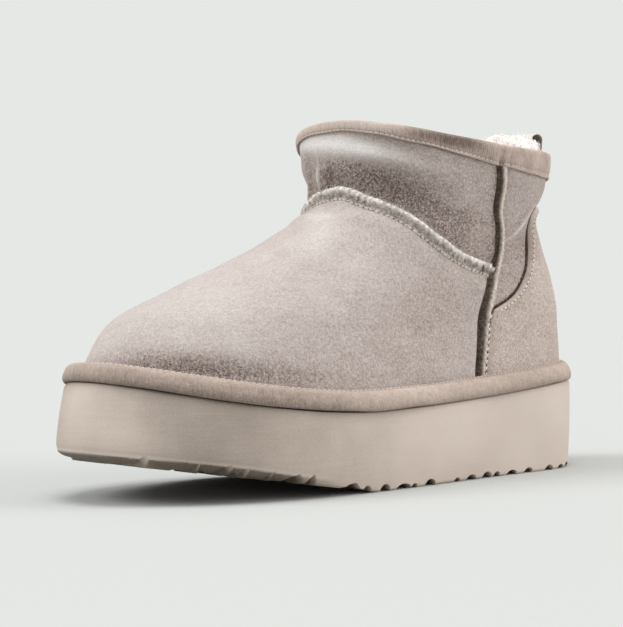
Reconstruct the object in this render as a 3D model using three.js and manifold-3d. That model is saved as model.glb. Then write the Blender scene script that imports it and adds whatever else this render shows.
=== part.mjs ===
// A sheepskin ankle boot on a platform sole, for the left foot.
// Millimetres. X runs from the heel to the toe, Y to the outer side of the foot, Z up from the floor.
// The last is described with the back of the sole at X = 0; the finished group is centred on its own box.

import * as THREE from 'three';
import { mergeVertices } from 'three/addons/utils/BufferGeometryUtils.js';
import Module from 'manifold-3d';

const wasm = await Module();
wasm.setup();

// ---------------------------------------------------------------- driving dimensions

const GAP = 0.3; // between pieces that touch in the real boot

const SOLE = {
  length: 275, // along its top edge
  heelTop: 46, // platform height under the heel, the ball and the toe tip
  ballTop: 35,
  toeTop: 51,
  ballAt: 0.6, // share of the length where the platform is lowest
  spring: 17.8, // how far the toe tip lifts off the floor
  springFrom: 0.59, // share of the length where the lift starts
  springPower: 1,
  toeFlare: 6, // how far the foot of the side wall stands out past its top edge
  heelFlare: -2,
  sideFlare: -2,
  arch: 5, // how far the waist draws in on the inner side
  archAt: 0.42,
  archSpread: 0.16,
};

const TREAD = {
  thickness: 6.5, // outsole with its lugs
  grooveDepth: 3,
  pitch: 10.6, // between the grooves across the sole
  wide: 6, // groove widths, taken in turn
  narrow: 4,
  firstGroove: 12,
  crossGrooves: 24, // pitches from the first cross groove to the last
};

const WALL = {
  thickness: 10, // suede with its deep wool pile
  edge: 2.2, // suede alone, where the collar binding wraps it
};

const BINDING = {
  thickness: 1,
  dropHeel: 12.5, // how far it reaches down the outside at the back and at the front
  dropToe: 4.5,
};

const WELT = { height: 9.4, marginToe: 7, marginHeel: 5, marginSide: 8 };
const INSOLE = { thickness: 6, clearance: 0.6 };
const COUNTER = { thickness: 1.6, columns: 20 }; // columns of the upper's own grid, centred on the heel
const PATCH = { columns: 3, height: 19, thickness: 1.2, bottom: 74 };
const LOOP = {
  columns: 3,
  thickness: 1.2,
  rise: 14.5,
  hole: 5.4,
  straightFrom: 4, // height above the collar from which it is straight across
  lean: 0.14,
  outerLeg: 12,
  innerLeg: 9,
};

const AROUND = 56; // points round each outline
const END_POWER = 2.2; // 2 would make the heel and toe ends true ellipses

// Sections of the last from the feather line, where upper meets sole, to the collar.
// Each is a closed outline from xHeel to xToe: half widths wHeel and wBall, ends rounded off over roundHeel and
// roundToe, the toe end carried sideways by swing. It climbs from zHeel to zToe, its flanks drop or lift by sag,
// and it follows the sole's dip under the foot by the share in follow.
const COLUMNS = [
  'zHeel', 'zToe', 'sag', 'xHeel', 'xToe', 'wHeel', 'wBall', 'swing', 'roundHeel', 'roundToe', 'follow',
];
const LAST = {
  feather: [46, 51, 0, 5, 268, 35, 53, -6, 43, 80, 1],
  cheek: [58, 64, 0, 4.8, 265.5, 35, 52, -5.5, 46.5, 80.5, 0.65],
  dome: [71.5, 79.5, 0, 4.1, 253, 34.5, 48.5, -5.5, 50, 84.5, 0.3],
  toeTop: [84.5, 91, 0, 4.5, 228.5, 34, 44.5, -4.5, 52, 92, 0.1],
  vamp: [98, 105, 1, 7.7, 194, 33, 40.5, -3, 54, 92, 0],
  instep: [112, 122, 2, 13.3, 161.5, 33, 40, -2, 56, 85.5, 0],
  throat: [127, 133, 0, 17.9, 147, 36.5, 41, -3, 58, 67.5, 0],
  shaft: [143, 150, -3.5, 12.5, 145, 42, 45.5, -4.5, 60, 63, 0],
  collar: [161, 170, -7, 10.5, 144.5, 46, 50, -6.5, 63, 65, 0],
};

// Top edge of the heel counter, from the side seam to the heel: share of the way up the upper, evenly spaced.
const COUNTER_TOP = [0.325, 0.405, 0.57, 0.715, 0.785, 0.812, 0.82, 0.825, 0.826];

// ---------------------------------------------------------------- curves

const clamp01 = (v) => Math.min(1, Math.max(0, v));
const lerp = THREE.MathUtils.lerp;
const rad = THREE.MathUtils.degToRad;

// A smooth curve through evenly spaced values, read at s = 0 ... values.length - 1.
function throughValues(values, s) {
  const last = values.length - 1;
  const at = Math.min(Math.max(s, 0), last - 1e-9);
  const i = Math.floor(at);
  const f = at - i;
  const a = i > 0 ? values[i - 1] : 2 * values[0] - values[1];
  const b = values[i];
  const c = values[i + 1];
  const d = i + 2 <= last ? values[i + 2] : 2 * values[last] - values[last - 1];
  return 0.5 * (2 * b + (c - a) * f + (2 * a - 5 * b + 4 * c - d) * f ** 2 + (3 * b - a - 3 * c + d) * f ** 3);
}

const sections = Object.values(LAST);
const columnValues = Object.fromEntries(COLUMNS.map((name, k) => [name, sections.map((row) => row[k])]));

// The section at t, from 0 at the feather line to 1 at the collar.
function sectionAt(t) {
  const s = t * (sections.length - 1);
  return Object.fromEntries(COLUMNS.map((name) => [name, throughValues(columnValues[name], s)]));
}

// A section grown outwards at the toe, the heel and the sides.
function grown(section, toe, heel, side) {
  return {
    ...section,
    xToe: section.xToe + toe,
    xHeel: section.xHeel - heel,
    wHeel: section.wHeel + side,
    wBall: section.wBall + side,
    roundToe: section.roundToe + toe,
    roundHeel: section.roundHeel + heel,
  };
}

// How much of its full width an end has, at a distance from its tip.
function endShare(distance, round) {
  const left = 1 - clamp01(distance / round);
  return Math.max(1 - left ** END_POWER, 0) ** (1 / END_POWER);
}

// The outline at an angle: 0 at the toe, a quarter turn at the outer side, a half turn at the heel.
function outlineAt(section, angle) {
  const along = (1 + Math.cos(angle)) / 2;
  const x = lerp(section.xHeel, section.xToe, along);
  const width = lerp(section.wHeel, section.wBall, THREE.MathUtils.smoothstep(along, 0.1, 0.72));
  const round = endShare(x - section.xHeel, section.roundHeel) * endShare(section.xToe - x, section.roundToe);
  const waist = Math.exp(-(((along - SOLE.archAt) / SOLE.archSpread) ** 2));
  const outer = Math.sin(angle) >= 0;
  const half = (outer ? width : width - SOLE.arch * section.follow * waist) * round;
  return { x, y: section.swing * along ** 2 + (outer ? half : -half), along };
}

// ---------------------------------------------------------------- the sole's surfaces

function soleTop(x) {
  const share = x / SOLE.length;
  const toHeel = Math.max((SOLE.ballAt - share) / SOLE.ballAt, 0);
  const toToe = Math.max((share - SOLE.ballAt) / (1 - SOLE.ballAt), 0);
  return (
    SOLE.ballTop + (SOLE.heelTop - SOLE.ballTop) * toHeel ** 1.6 + (SOLE.toeTop - SOLE.ballTop) * toToe ** 1.8
  );
}

// How far the sole's top lies under the straight line from its heel to its toe.
const soleDip = (x) => soleTop(x) - lerp(SOLE.heelTop, SOLE.toeTop, x / SOLE.length);

function soleBottom(x) {
  const share = (x / SOLE.length - SOLE.springFrom) / (1 - SOLE.springFrom);
  return SOLE.spring * Math.max(share, 0) ** SOLE.springPower;
}

const feather = sectionAt(0);
const soleEdge = grown(feather, WELT.marginToe, WELT.marginHeel, WELT.marginSide);

// ---------------------------------------------------------------- the upper's surface

const angleOf = (i) => (2 * Math.PI * i) / AROUND;

function upperPoint(angle, t) {
  const section = sectionAt(t);
  const { x, y, along } = outlineAt(section, angle);
  const flank = Math.sin(angle) ** 2;
  const rise = lerp(section.zHeel, section.zToe, along) + section.sag * flank + section.follow * soleDip(x);
  return new THREE.Vector3(x, y, rise);
}

// Outward normal of the upper, level at both edges so that they stay square to the sole and the collar.
function upperNormal(angle, t) {
  const step = 1e-3;
  const low = Math.max(t - step, 0);
  const high = Math.min(t + step, 1);
  const round = upperPoint(angle + step, t).sub(upperPoint(angle - step, t));
  const up = upperPoint(angle, high).sub(upperPoint(angle, low));
  const normal = round.cross(up);
  normal.z *= Math.min(1, t / 0.06, (1 - t) / 0.06);
  return normal.normalize();
}

// The upper's own surface moved outwards, or inwards where the distance is negative.
function skin(angle, t, distance) {
  const point = upperPoint(angle, t);
  return point.addScaledVector(upperNormal(angle, t), distance);
}

// The share of the way up at which the upper reaches a height over the sole's top edge.
function shareAtRise(angle, rise) {
  let low = 0;
  let high = 0.5;
  for (let step = 0; step < 30; step++) {
    const middle = (low + high) / 2;
    const point = upperPoint(angle, middle);
    if (point.z - soleTop(point.x) < rise) low = middle;
    else high = middle;
  }
  return low;
}

// The share of the way up at which the upper is a distance under the collar's edge.
function shareUnderCollar(angle, drop) {
  const top = upperPoint(angle, 1).z;
  let low = 0.5;
  let high = 1;
  for (let step = 0; step < 30; step++) {
    const middle = (low + high) / 2;
    if (top - upperPoint(angle, middle).z > drop) low = middle;
    else high = middle;
  }
  return high;
}

const bindingDrop = (angle) => lerp(BINDING.dropHeel, BINDING.dropToe, (1 + Math.cos(angle)) / 2);

// ---------------------------------------------------------------- closed solids from grids of points

function geometryFrom(points, triangles) {
  const geometry = new THREE.BufferGeometry();
  geometry.setAttribute('position', new THREE.Float32BufferAttribute(points.flatMap((p) => [p.x, p.y, p.z]), 3));
  geometry.setIndex(triangles.flat());
  geometry.computeVertexNormals();
  return geometry;
}

const quad = (a, b, c, d) => [[a, b, c], [a, c, d]];

// A ring: each column is a closed profile, and the last column joins the first.
function ringGeometry(columns) {
  const rows = columns[0].length;
  const at = (i, j) => (i % columns.length) * rows + (j % rows);
  const triangles = columns.flatMap((column, i) =>
    column.flatMap((_, j) => quad(at(i, j), at(i + 1, j), at(i + 1, j + 1), at(i, j + 1))));
  return geometryFrom(columns.flat(), triangles);
}

// A stack of outlines from the lowest to the highest, closed at both ends by strips across it.
function stackGeometry(outlines) {
  const count = outlines[0].length;
  const at = (level, i) => level * count + (i % count);
  const triangles = [];
  for (let level = 0; level + 1 < outlines.length; level++) {
    for (let i = 0; i < count; i++) {
      triangles.push(...quad(at(level, i), at(level, i + 1), at(level + 1, i + 1), at(level + 1, i)));
    }
  }
  for (const [level, facesUp] of [[0, false], [outlines.length - 1, true]]) {
    for (let i = 0; i < count / 2; i++) {
      const strip = [at(level, i), at(level, i + 1), at(level, count - i - 1), at(level, count - i)];
      const faces = quad(...strip).filter((face) => new Set(face).size === 3);
      triangles.push(...faces.map((face) => (facesUp ? face : face.toReversed())));
    }
  }
  return geometryFrom(outlines.flat(), triangles);
}

// A curved sheet with a thickness: two matching grids of points, joined round their rims.
function sheetGeometry(outer, inner) {
  const columns = outer.length;
  const rows = outer[0].length;
  const outside = (i, j) => i * rows + j;
  const inside = (i, j) => columns * rows + i * rows + j;
  const triangles = [];
  for (let i = 0; i + 1 < columns; i++) {
    for (let j = 0; j + 1 < rows; j++) {
      triangles.push(...quad(outside(i, j), outside(i + 1, j), outside(i + 1, j + 1), outside(i, j + 1)));
      triangles.push(...quad(inside(i, j), inside(i, j + 1), inside(i + 1, j + 1), inside(i + 1, j)));
    }
  }
  for (let i = 0; i + 1 < columns; i++) {
    const top = rows - 1;
    triangles.push(...quad(outside(i, 0), inside(i, 0), inside(i + 1, 0), outside(i + 1, 0)));
    triangles.push(...quad(outside(i, top), outside(i + 1, top), inside(i + 1, top), inside(i, top)));
  }
  for (let j = 0; j + 1 < rows; j++) {
    const end = columns - 1;
    triangles.push(...quad(outside(0, j), outside(0, j + 1), inside(0, j + 1), inside(0, j)));
    triangles.push(...quad(outside(end, j), inside(end, j), inside(end, j + 1), outside(end, j + 1)));
  }
  return geometryFrom([...outer.flat(), ...inner.flat()], triangles);
}

const columnsRound = (profileAt) => Array.from({ length: AROUND }, (_, i) => profileAt(angleOf(i)));
const spread = (from, to, steps) => Array.from({ length: steps + 1 }, (_, k) => lerp(from, to, k / steps));

// ---------------------------------------------------------------- solids for cutting

function solidFrom(geometry) {
  const plain = new THREE.BufferGeometry();
  plain.setAttribute('position', geometry.getAttribute('position'));
  plain.setIndex(geometry.index);
  const merged = mergeVertices(plain, 1e-4);
  return new wasm.Manifold(new wasm.Mesh({
    numProp: 3,
    vertProperties: merged.getAttribute('position').array,
    triVerts: new Uint32Array(merged.index.array),
  }));
}

function geometryOf(solid) {
  const mesh = solid.getMesh();
  const geometry = new THREE.BufferGeometry();
  geometry.setAttribute('position', new THREE.BufferAttribute(mesh.vertProperties, 3));
  geometry.setIndex(new THREE.BufferAttribute(mesh.triVerts, 1));
  geometry.computeVertexNormals();
  return geometry;
}

// ---------------------------------------------------------------- pieces

// One outline of the sole, at a share of the side wall's height, lying on a surface given by height(x).
function soleOutline(share, height) {
  const toe = lerp(SOLE.toeFlare, 0, share);
  const heel = lerp(SOLE.heelFlare, 0, share);
  const side = lerp(SOLE.sideFlare, 0, share);
  const section = grown(soleEdge, toe, heel, side);
  return columnsRound((angle) => {
    const { x, y } = outlineAt(section, angle);
    return new THREE.Vector3(x, y, height(x));
  });
}

function midsole() {
  const foot = (x) => soleBottom(x) + TREAD.thickness + GAP;
  const between = (share) => (x) => lerp(foot(x), soleTop(x), share);
  return stackGeometry([0, 0.35, 0.7, 1].map((share) => soleOutline(share, between(share))));
}

// The bar that cuts one groove: half round below, square above, so that it clears the sole's underside.
function grooveBar(width, length) {
  const shape = new THREE.Shape();
  shape.moveTo(-width / 2, -2);
  shape.lineTo(width / 2, -2);
  shape.lineTo(width / 2, 0);
  shape.absellipse(0, 0, width / 2, TREAD.grooveDepth, 0, Math.PI, false);
  const bar = new THREE.ExtrudeGeometry(shape, { depth: length, bevelEnabled: false, curveSegments: 4 });
  return bar.translate(0, 0, -length / 2);
}

function outsole() {
  const slab = stackGeometry([
    soleOutline(0, soleBottom),
    soleOutline(0, (x) => soleBottom(x) + TREAD.thickness),
  ]);
  let solid = solidFrom(slab);
  for (let k = 0; k <= TREAD.crossGrooves; k++) {
    const x = TREAD.firstGroove + k * TREAD.pitch;
    const slope = Math.atan2(soleBottom(x + 1) - soleBottom(x - 1), 2);
    const bar = grooveBar(k % 2 ? TREAD.narrow : TREAD.wide, 140);
    bar.rotateX(Math.PI / 2).rotateY(-slope).translate(x, 0, soleBottom(x));
    solid = solid.subtract(solidFrom(bar));
  }
  return geometryOf(solid);
}

// The upper: suede outside, wool inside, one wall from the feather line to the collar, open at both.
function upper() {
  const outerSteps = 20;
  const innerSteps = 14;
  return ringGeometry(columnsRound((angle) => {
    const shoulder = shareUnderCollar(angle, bindingDrop(angle) + 2.5);
    const ledge = shareUnderCollar(angle, bindingDrop(angle) + 0.5);
    const onSole = (point) => point.setZ(soleTop(point.x) + GAP);
    const outside = spread(0, 1, outerSteps).map((t) => skin(angle, t, 0));
    const inside = spread(0, shoulder, innerSteps).map((t) => skin(angle, t, -WALL.thickness));
    onSole(outside[0]);
    onSole(inside[0]);
    const rim = [skin(angle, 1, -WALL.edge), skin(angle, ledge, -WALL.edge)];
    return [...outside, ...rim, ...inside.toReversed()];
  }));
}

// The strip rolled round the seam between upper and sole.
function welt() {
  return ringGeometry(columnsRound((angle) => {
    const foot = outlineAt(feather, angle);
    const edge = outlineAt(soleEdge, angle);
    const over = (share, height) => {
      const x = lerp(foot.x, edge.x, share);
      return new THREE.Vector3(x, lerp(foot.y, edge.y, share), soleTop(x) + height);
    };
    const against = (rise) => skin(angle, shareAtRise(angle, rise), GAP);
    const floor = against(GAP);
    floor.z = soleTop(floor.x) + GAP;
    return [
      floor,
      over(0.96, GAP),
      over(1.0, 2.2),
      over(0.97, WELT.height * 0.62),
      over(0.72, WELT.height * 0.9),
      over(0.36, WELT.height),
      against(WELT.height - 1.2),
      against(WELT.height * 0.45),
    ];
  }));
}

// The footbed: it lies on the sole, inside the wool.
function insole() {
  const inwards = -(WALL.thickness + INSOLE.clearance);
  const level = (height, share) => columnsRound((angle) => {
    const point = skin(angle, shareAtRise(angle, height), inwards - share);
    return point.setZ(soleTop(point.x) + height);
  });
  return stackGeometry([level(GAP, 0.4), level(INSOLE.thickness - 1.5, 0), level(INSOLE.thickness, 1.6)]);
}

// Angles centred on the heel that split the upper's own columns in two, so that layers lie parallel to it.
const anglesAtHeel = (columns) => {
  const half = angleOf(columns / 2);
  return spread(Math.PI - half, Math.PI + half, 2 * columns);
};

function counterTopAt(angle) {
  const fromSeam = 1 - Math.abs(angle - Math.PI) / angleOf(COUNTER.columns / 2);
  return throughValues(COUNTER_TOP, fromSeam * (COUNTER_TOP.length - 1));
}

// The suede cap round the heel, laid on the outside of the upper.
function heelCounter() {
  const rows = 7;
  const grid = (distance) => anglesAtHeel(COUNTER.columns).map((angle) => {
    const bottom = shareAtRise(angle, WELT.height + 0.8);
    return spread(bottom, counterTopAt(angle), rows).map((t) => skin(angle, t, distance));
  });
  return sheetGeometry(grid(GAP + COUNTER.thickness), grid(GAP));
}

// A plain patch on the back of the heel counter.
function heelPatch() {
  const rows = 4;
  const base = 2 * GAP + COUNTER.thickness;
  const grid = (distance) => anglesAtHeel(PATCH.columns).map((angle) => {
    const low = shareAtRise(angle, PATCH.bottom - SOLE.heelTop);
    const high = shareAtRise(angle, PATCH.bottom + PATCH.height - SOLE.heelTop);
    return spread(low, high, rows).map((t) => skin(angle, t, distance));
  });
  return sheetGeometry(grid(base + PATCH.thickness), grid(base));
}

// The tape folded over the collar's edge, down the outside and down behind the wool.
function collarBinding() {
  const { thickness } = BINDING;
  return ringGeometry(columnsRound((angle) => {
    const drop = bindingDrop(angle);
    const down = (share) => shareUnderCollar(angle, drop * share);
    const out = (share, distance) => skin(angle, down(share), distance);
    const inner = -WALL.edge - GAP;
    const over = (distance, height) => {
      const point = skin(angle, 1, distance);
      return point.setZ(point.z + height);
    };
    return [
      out(1, GAP),
      out(1, GAP + thickness),
      out(0.5, GAP + thickness + 0.2),
      over(GAP + thickness, 0),
      over(-WALL.edge / 2, GAP + thickness + 0.5),
      over(inner - thickness, 0),
      out(0.95, inner - thickness),
      out(0.95, inner),
      over(inner, 0),
      over(-WALL.edge / 2, GAP),
      over(GAP, 0),
      out(0.5, GAP),
    ];
  }));
}

// The loop at the back, a tape folded over a finger's gap, one leg each side of the collar.
// Its legs follow the collar's curve, and above the collar it is straight across.
function pullLoop() {
  const back = upperPoint(Math.PI, 1);
  const outerFace = 2 * GAP + BINDING.thickness + 0.2;
  const innerFace = -(WALL.edge + 2 * GAP + BINDING.thickness);
  const innerTop = outerFace - LOOP.hole;
  const fold = LOOP.hole / 2;
  const top = LOOP.rise - fold - LOOP.thickness;
  const place = (angle, distance, height) => {
    const rise = Math.max(height, 0);
    const point = skin(angle, shareUnderCollar(angle, rise - height), distance);
    point.x = lerp(point.x, back.x - distance, THREE.MathUtils.smoothstep(rise, 0, LOOP.straightFrom));
    point.x -= LOOP.lean * rise;
    point.z += rise;
    return point;
  };
  const tapeAt = (angle, offset) => {
    const outer = [-LOOP.outerLeg, -LOOP.outerLeg / 2, 0, LOOP.straightFrom];
    const inner = [[LOOP.straightFrom, innerTop], [0, innerFace], [-LOOP.innerLeg, innerFace]];
    const turns = spread(0, Math.PI, 6);
    return [
      ...outer.map((height) => place(angle, outerFace + offset, height)),
      ...turns.map((turn) => place(
        angle,
        outerFace - fold + (fold + offset) * Math.cos(turn),
        top + (fold + offset) * Math.sin(turn),
      )),
      ...inner.map(([height, face]) => place(angle, face - offset, height)),
    ];
  };
  const grid = (offset) => anglesAtHeel(LOOP.columns).map((angle) => tapeAt(angle, offset));
  return sheetGeometry(grid(LOOP.thickness), grid(0));
}

// ---------------------------------------------------------------- assembly

const suede = new THREE.MeshStandardMaterial({ color: 0xb5aaa6, roughness: 0.95, metalness: 0 });
const tape = new THREE.MeshStandardMaterial({ color: 0xa5968e, roughness: 0.9, metalness: 0 });
const foam = new THREE.MeshStandardMaterial({ color: 0xc3b8ae, roughness: 0.7, metalness: 0 });
const wool = new THREE.MeshStandardMaterial({ color: 0xf2efe9, roughness: 1, metalness: 0 });

const boot = new THREE.Group();

function add(name, geometry, material) {
  const mesh = new THREE.Mesh(geometry, material);
  mesh.name = name;
  boot.add(mesh);
}

add('outsole', outsole(), foam);
add('midsole', midsole(), foam);
add('insole', insole(), wool);
add('upper', upper(), suede);
add('welt', welt(), tape);
add('heel_counter', heelCounter(), suede);
add('heel_patch', heelPatch(), foam);
add('collar_binding', collarBinding(), tape);
add('pull_loop', pullLoop(), tape);

// The origin is under the middle of the boot's box, on the floor.
const box = new THREE.Box3().setFromObject(boot);
const centre = box.getCenter(new THREE.Vector3());
boot.position.set(-centre.x, -centre.y, -box.min.z);

export default boot;
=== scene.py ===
"""Visual model of the left sheepskin boot: suede upper, wool, tapes, seams, stitches and moulded platform."""

import math

import bmesh
import bpy
import numpy as np
from mathutils import Matrix, Vector


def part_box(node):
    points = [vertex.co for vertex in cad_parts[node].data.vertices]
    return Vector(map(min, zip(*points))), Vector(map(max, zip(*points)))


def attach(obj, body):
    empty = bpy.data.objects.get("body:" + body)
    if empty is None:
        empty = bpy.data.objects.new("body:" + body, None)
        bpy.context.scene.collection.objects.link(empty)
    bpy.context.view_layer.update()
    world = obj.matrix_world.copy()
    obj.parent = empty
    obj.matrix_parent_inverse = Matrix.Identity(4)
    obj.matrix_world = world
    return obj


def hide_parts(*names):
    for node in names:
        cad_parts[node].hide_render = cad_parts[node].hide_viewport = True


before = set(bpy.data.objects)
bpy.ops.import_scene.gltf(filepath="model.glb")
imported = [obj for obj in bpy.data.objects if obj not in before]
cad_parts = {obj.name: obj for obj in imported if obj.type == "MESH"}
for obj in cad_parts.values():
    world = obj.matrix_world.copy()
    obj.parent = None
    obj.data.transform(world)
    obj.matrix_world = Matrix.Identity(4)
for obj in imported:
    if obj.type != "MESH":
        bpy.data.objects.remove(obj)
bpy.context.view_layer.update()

MM = 0.001
GAP = 0.3

# ---------------------------------------------------------------- the boot's own sizes, in millimetres
# X from the heel at 0 to the toe, Y to the outer side, Z up from the floor, as in the CAD part.

SOLE = dict(
    length=275, heel_top=46, ball_top=35, toe_top=51, ball_at=0.6,
    spring=17.8, spring_from=0.59, spring_power=1.0,
    toe_flare=6, heel_flare=-2, side_flare=-2, arch=5, arch_at=0.42, arch_spread=0.16,
)
WALL, WALL_EDGE = 10, 2.2
BINDING = dict(thickness=1.0, drop_heel=12.5, drop_toe=4.5)
WELT = dict(height=9.4, toe=7, heel=5, side=8)
COUNTER = dict(thickness=1.6, columns=20)
LOOP = dict(half_width=9.8, thickness=1.2, rise=14.5, hole=5.4, straight_from=4, lean=0.14, outer_leg=12, inner_leg=9)
PATCH = dict(half_width=11.8, bottom=74, height=19, thickness=1.2)
CAD_AROUND = 56  # points round the CAD part
COUNTER_HALF = math.pi * COUNTER["columns"] / CAD_AROUND  # half the turn that the heel counter covers
END_POWER = 2.2  # 2 would make the ends of an outline elliptical, more makes them fuller
SUEDE_THICKNESS, TREAD_THICKNESS, WOOL_FACE = 2.0, 6.5, -9.6

# A section: heights at heel and toe, rise of the sides, where heel and toe end, half widths at heel and ball,
# sideways swing of the toe, length over which heel and toe round over, and how far it follows the sole's dip.
COLUMNS = (
    "z_heel", "z_toe", "sag", "x_heel", "x_toe", "w_heel", "w_ball", "swing", "round_heel", "round_toe", "follow",
)
LAST = {
    "feather": (46, 51, 0, 5, 268, 35, 53, -6, 43, 80, 1),
    "cheek": (58, 64, 0, 4.8, 265.5, 35, 52, -5.5, 46.5, 80.5, 0.65),
    "dome": (71.5, 79.5, 0, 4.1, 253, 34.5, 48.5, -5.5, 50, 84.5, 0.3),
    "toe_top": (84.5, 91, 0, 4.5, 228.5, 34, 44.5, -4.5, 52, 92, 0.1),
    "vamp": (98, 105, 1, 7.7, 194, 33, 40.5, -3, 54, 92, 0),
    "instep": (112, 122, 2, 13.3, 161.5, 33, 40, -2, 56, 85.5, 0),
    "throat": (127, 133, 0, 17.9, 147, 36.5, 41, -3, 58, 67.5, 0),
    "shaft": (143, 150, -3.5, 12.5, 145, 42, 45.5, -4.5, 60, 63, 0),
    "collar": (161, 170, -7, 10.5, 144.5, 46, 50, -6.5, 63, 65, 0),
}
TABLE = np.array(list(LAST.values()), float)

# Seams on the upper. Angles in degrees from the toe, the same on both sides; t is the share of the way up.
VAMP_SEAM_T = np.array([
    0.45, 0.475, 0.515, 0.565, 0.62, 0.68, 0.732, 0.768, 0.776, 0.738, 0.683, 0.62, 0.562, 0.51, 0.475,
])  # every 16 degrees from -112, the inner side, to 112
SIDE_SEAM_ANGLE = np.array([114.6, 115.0, 113.4, 111.8, 108.0, 102.0, 95.5])  # every 0.15 of t from 0.06
COUNTER_TOP = np.array([0.325, 0.405, 0.57, 0.715, 0.785, 0.812, 0.82, 0.825, 0.826])  # every 8 degrees to the heel


# ---------------------------------------------------------------- curves

def through(values, s):
    """A smooth curve through evenly spaced values, read at s."""
    values = np.asarray(values, float)
    last = len(values) - 1
    s = np.clip(np.asarray(s, float), 0, last - 1e-9)
    i = np.floor(s).astype(int)
    f = s - i
    if values.ndim > 1:
        f = f[..., None]
    padded = np.concatenate([2 * values[:1] - values[1:2], values, 2 * values[-1:] - values[-2:-1]])
    a, b, c, d = (padded[i + k] for k in range(4))
    return 0.5 * (2 * b + (c - a) * f + (2 * a - 5 * b + 4 * c - d) * f**2 + (3 * b - a - 3 * c + d) * f**3)


def lerp(a, b, f):
    return a + (b - a) * f


def smooth(x, low, high):
    f = np.clip((x - low) / (high - low), 0, 1)
    return f * f * (3 - 2 * f)


def bell(x, at, width):
    return np.exp(-(((x - at) / width) ** 2))


def section(t):
    values = through(TABLE, np.asarray(t, float) * (len(TABLE) - 1))
    return {name: values[..., k] for k, name in enumerate(COLUMNS)}


def grown(sec, toe, heel, side):
    out = dict(sec)
    out["x_toe"] = sec["x_toe"] + toe
    out["x_heel"] = sec["x_heel"] - heel
    for name in ("w_heel", "w_ball"):
        out[name] = sec[name] + side
    out["round_toe"] = sec["round_toe"] + toe
    out["round_heel"] = sec["round_heel"] + heel
    return out


def end_share(distance, round_over):
    left = 1 - np.clip(distance / round_over, 0, 1)
    return np.maximum(1 - left**END_POWER, 0) ** (1 / END_POWER)


def outline(sec, angle):
    """x, y and the share of the length of the outline at an angle, 0 at the toe, a quarter turn at the outer side."""
    along = (1 + np.cos(angle)) / 2
    x = lerp(sec["x_heel"], sec["x_toe"], along)
    width = lerp(sec["w_heel"], sec["w_ball"], smooth(along, 0.10, 0.72))
    ends = end_share(x - sec["x_heel"], sec["round_heel"]) * end_share(sec["x_toe"] - x, sec["round_toe"])
    waist = bell(along, SOLE["arch_at"], SOLE["arch_spread"])
    outer = np.sin(angle) >= 0
    half = np.where(outer, width, width - SOLE["arch"] * sec["follow"] * waist) * ends
    return x, sec["swing"] * along**2 + np.where(outer, half, -half), along


def sole_top(x):
    share = x / SOLE["length"]
    to_heel = np.maximum((SOLE["ball_at"] - share) / SOLE["ball_at"], 0)
    to_toe = np.maximum((share - SOLE["ball_at"]) / (1 - SOLE["ball_at"]), 0)
    rise_heel = (SOLE["heel_top"] - SOLE["ball_top"]) * to_heel**1.6
    rise_toe = (SOLE["toe_top"] - SOLE["ball_top"]) * to_toe**1.8
    return SOLE["ball_top"] + rise_heel + rise_toe


def sole_bottom(x):
    share = (x / SOLE["length"] - SOLE["spring_from"]) / (1 - SOLE["spring_from"])
    return SOLE["spring"] * np.maximum(share, 0) ** SOLE["spring_power"]


def upper_point(angle, t):
    sec = section(t)
    x, y, along = outline(sec, angle)
    dip = sole_top(x) - lerp(SOLE["heel_top"], SOLE["toe_top"], x / SOLE["length"])
    z = lerp(sec["z_heel"], sec["z_toe"], along) + sec["sag"] * np.sin(angle) ** 2 + sec["follow"] * dip
    return np.stack(np.broadcast_arrays(x, y, z), -1)


def stretch(angle, t):
    """Millimetres of the upper for a whole step of t, and for a radian of angle, at a place."""
    step = 1e-3
    up = upper_point(angle, np.minimum(t + step, 1)) - upper_point(angle, np.maximum(t - step, 0))
    around = upper_point(angle + step, t) - upper_point(angle - step, t)
    return np.linalg.norm(up, axis=-1) / (2 * step), np.linalg.norm(around, axis=-1) / (2 * step)


def unit(v):
    return v / np.maximum(np.linalg.norm(v, axis=-1, keepdims=True), 1e-12)


def upper_normal(angle, t):
    step = 1e-3
    low, high = np.maximum(t - step, 0), np.minimum(t + step, 1)
    around = upper_point(angle + step, t) - upper_point(angle - step, t)
    up = upper_point(angle, high) - upper_point(angle, low)
    normal = np.cross(around, up)
    normal[..., 2] *= np.clip(np.minimum(t, 1 - np.asarray(t)) / 0.06, 0, 1)
    return unit(normal)


# ---------------------------------------------------------------- smooth noise, the same each run

LATTICE = 64
LATTICES = [np.random.default_rng(seed).uniform(-1, 1, (LATTICE,) * 3) for seed in (11, 23, 37)]


def noise3(points, scale, which=0):
    """Smooth noise from -1 to 1 at points, its features about scale wide."""
    grid = LATTICES[which]
    p = np.asarray(points) / scale + 17.3
    i = np.floor(p).astype(int)
    f = p - i
    f = f * f * (3 - 2 * f)
    total = 0
    for corner in range(8):
        d = [(corner >> k) & 1 for k in range(3)]
        weight = 1
        for k in range(3):
            weight = weight * (f[..., k] if d[k] else 1 - f[..., k])
        total = total + weight * grid[tuple((i[..., k] + d[k]) % LATTICE for k in range(3))]
    return total


# ---------------------------------------------------------------- the suede's relief and tone

def signed_degrees(angle):
    return (np.degrees(angle) + 180) % 360 - 180


def vamp_seam_t(degrees):
    return through(VAMP_SEAM_T, (degrees + 112) / 16)


def side_seam_angle(t):
    return through(SIDE_SEAM_ANGLE, (t - 0.06) / 0.15)


def soft_spot(degrees, t, at, size, turn=0.0):
    """A soft oval on the upper: centre (degrees, t), half sizes in mm along and across it, turned by degrees."""
    u = (degrees - at[0]) * 1.15
    v = (t - at[1]) * 150
    c, s = math.cos(math.radians(turn)), math.sin(math.radians(turn))
    along, across = u * c + v * s, v * c - u * s
    return np.exp(-((along / size[0]) ** 2) - (across / size[1]) ** 2)


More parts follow.
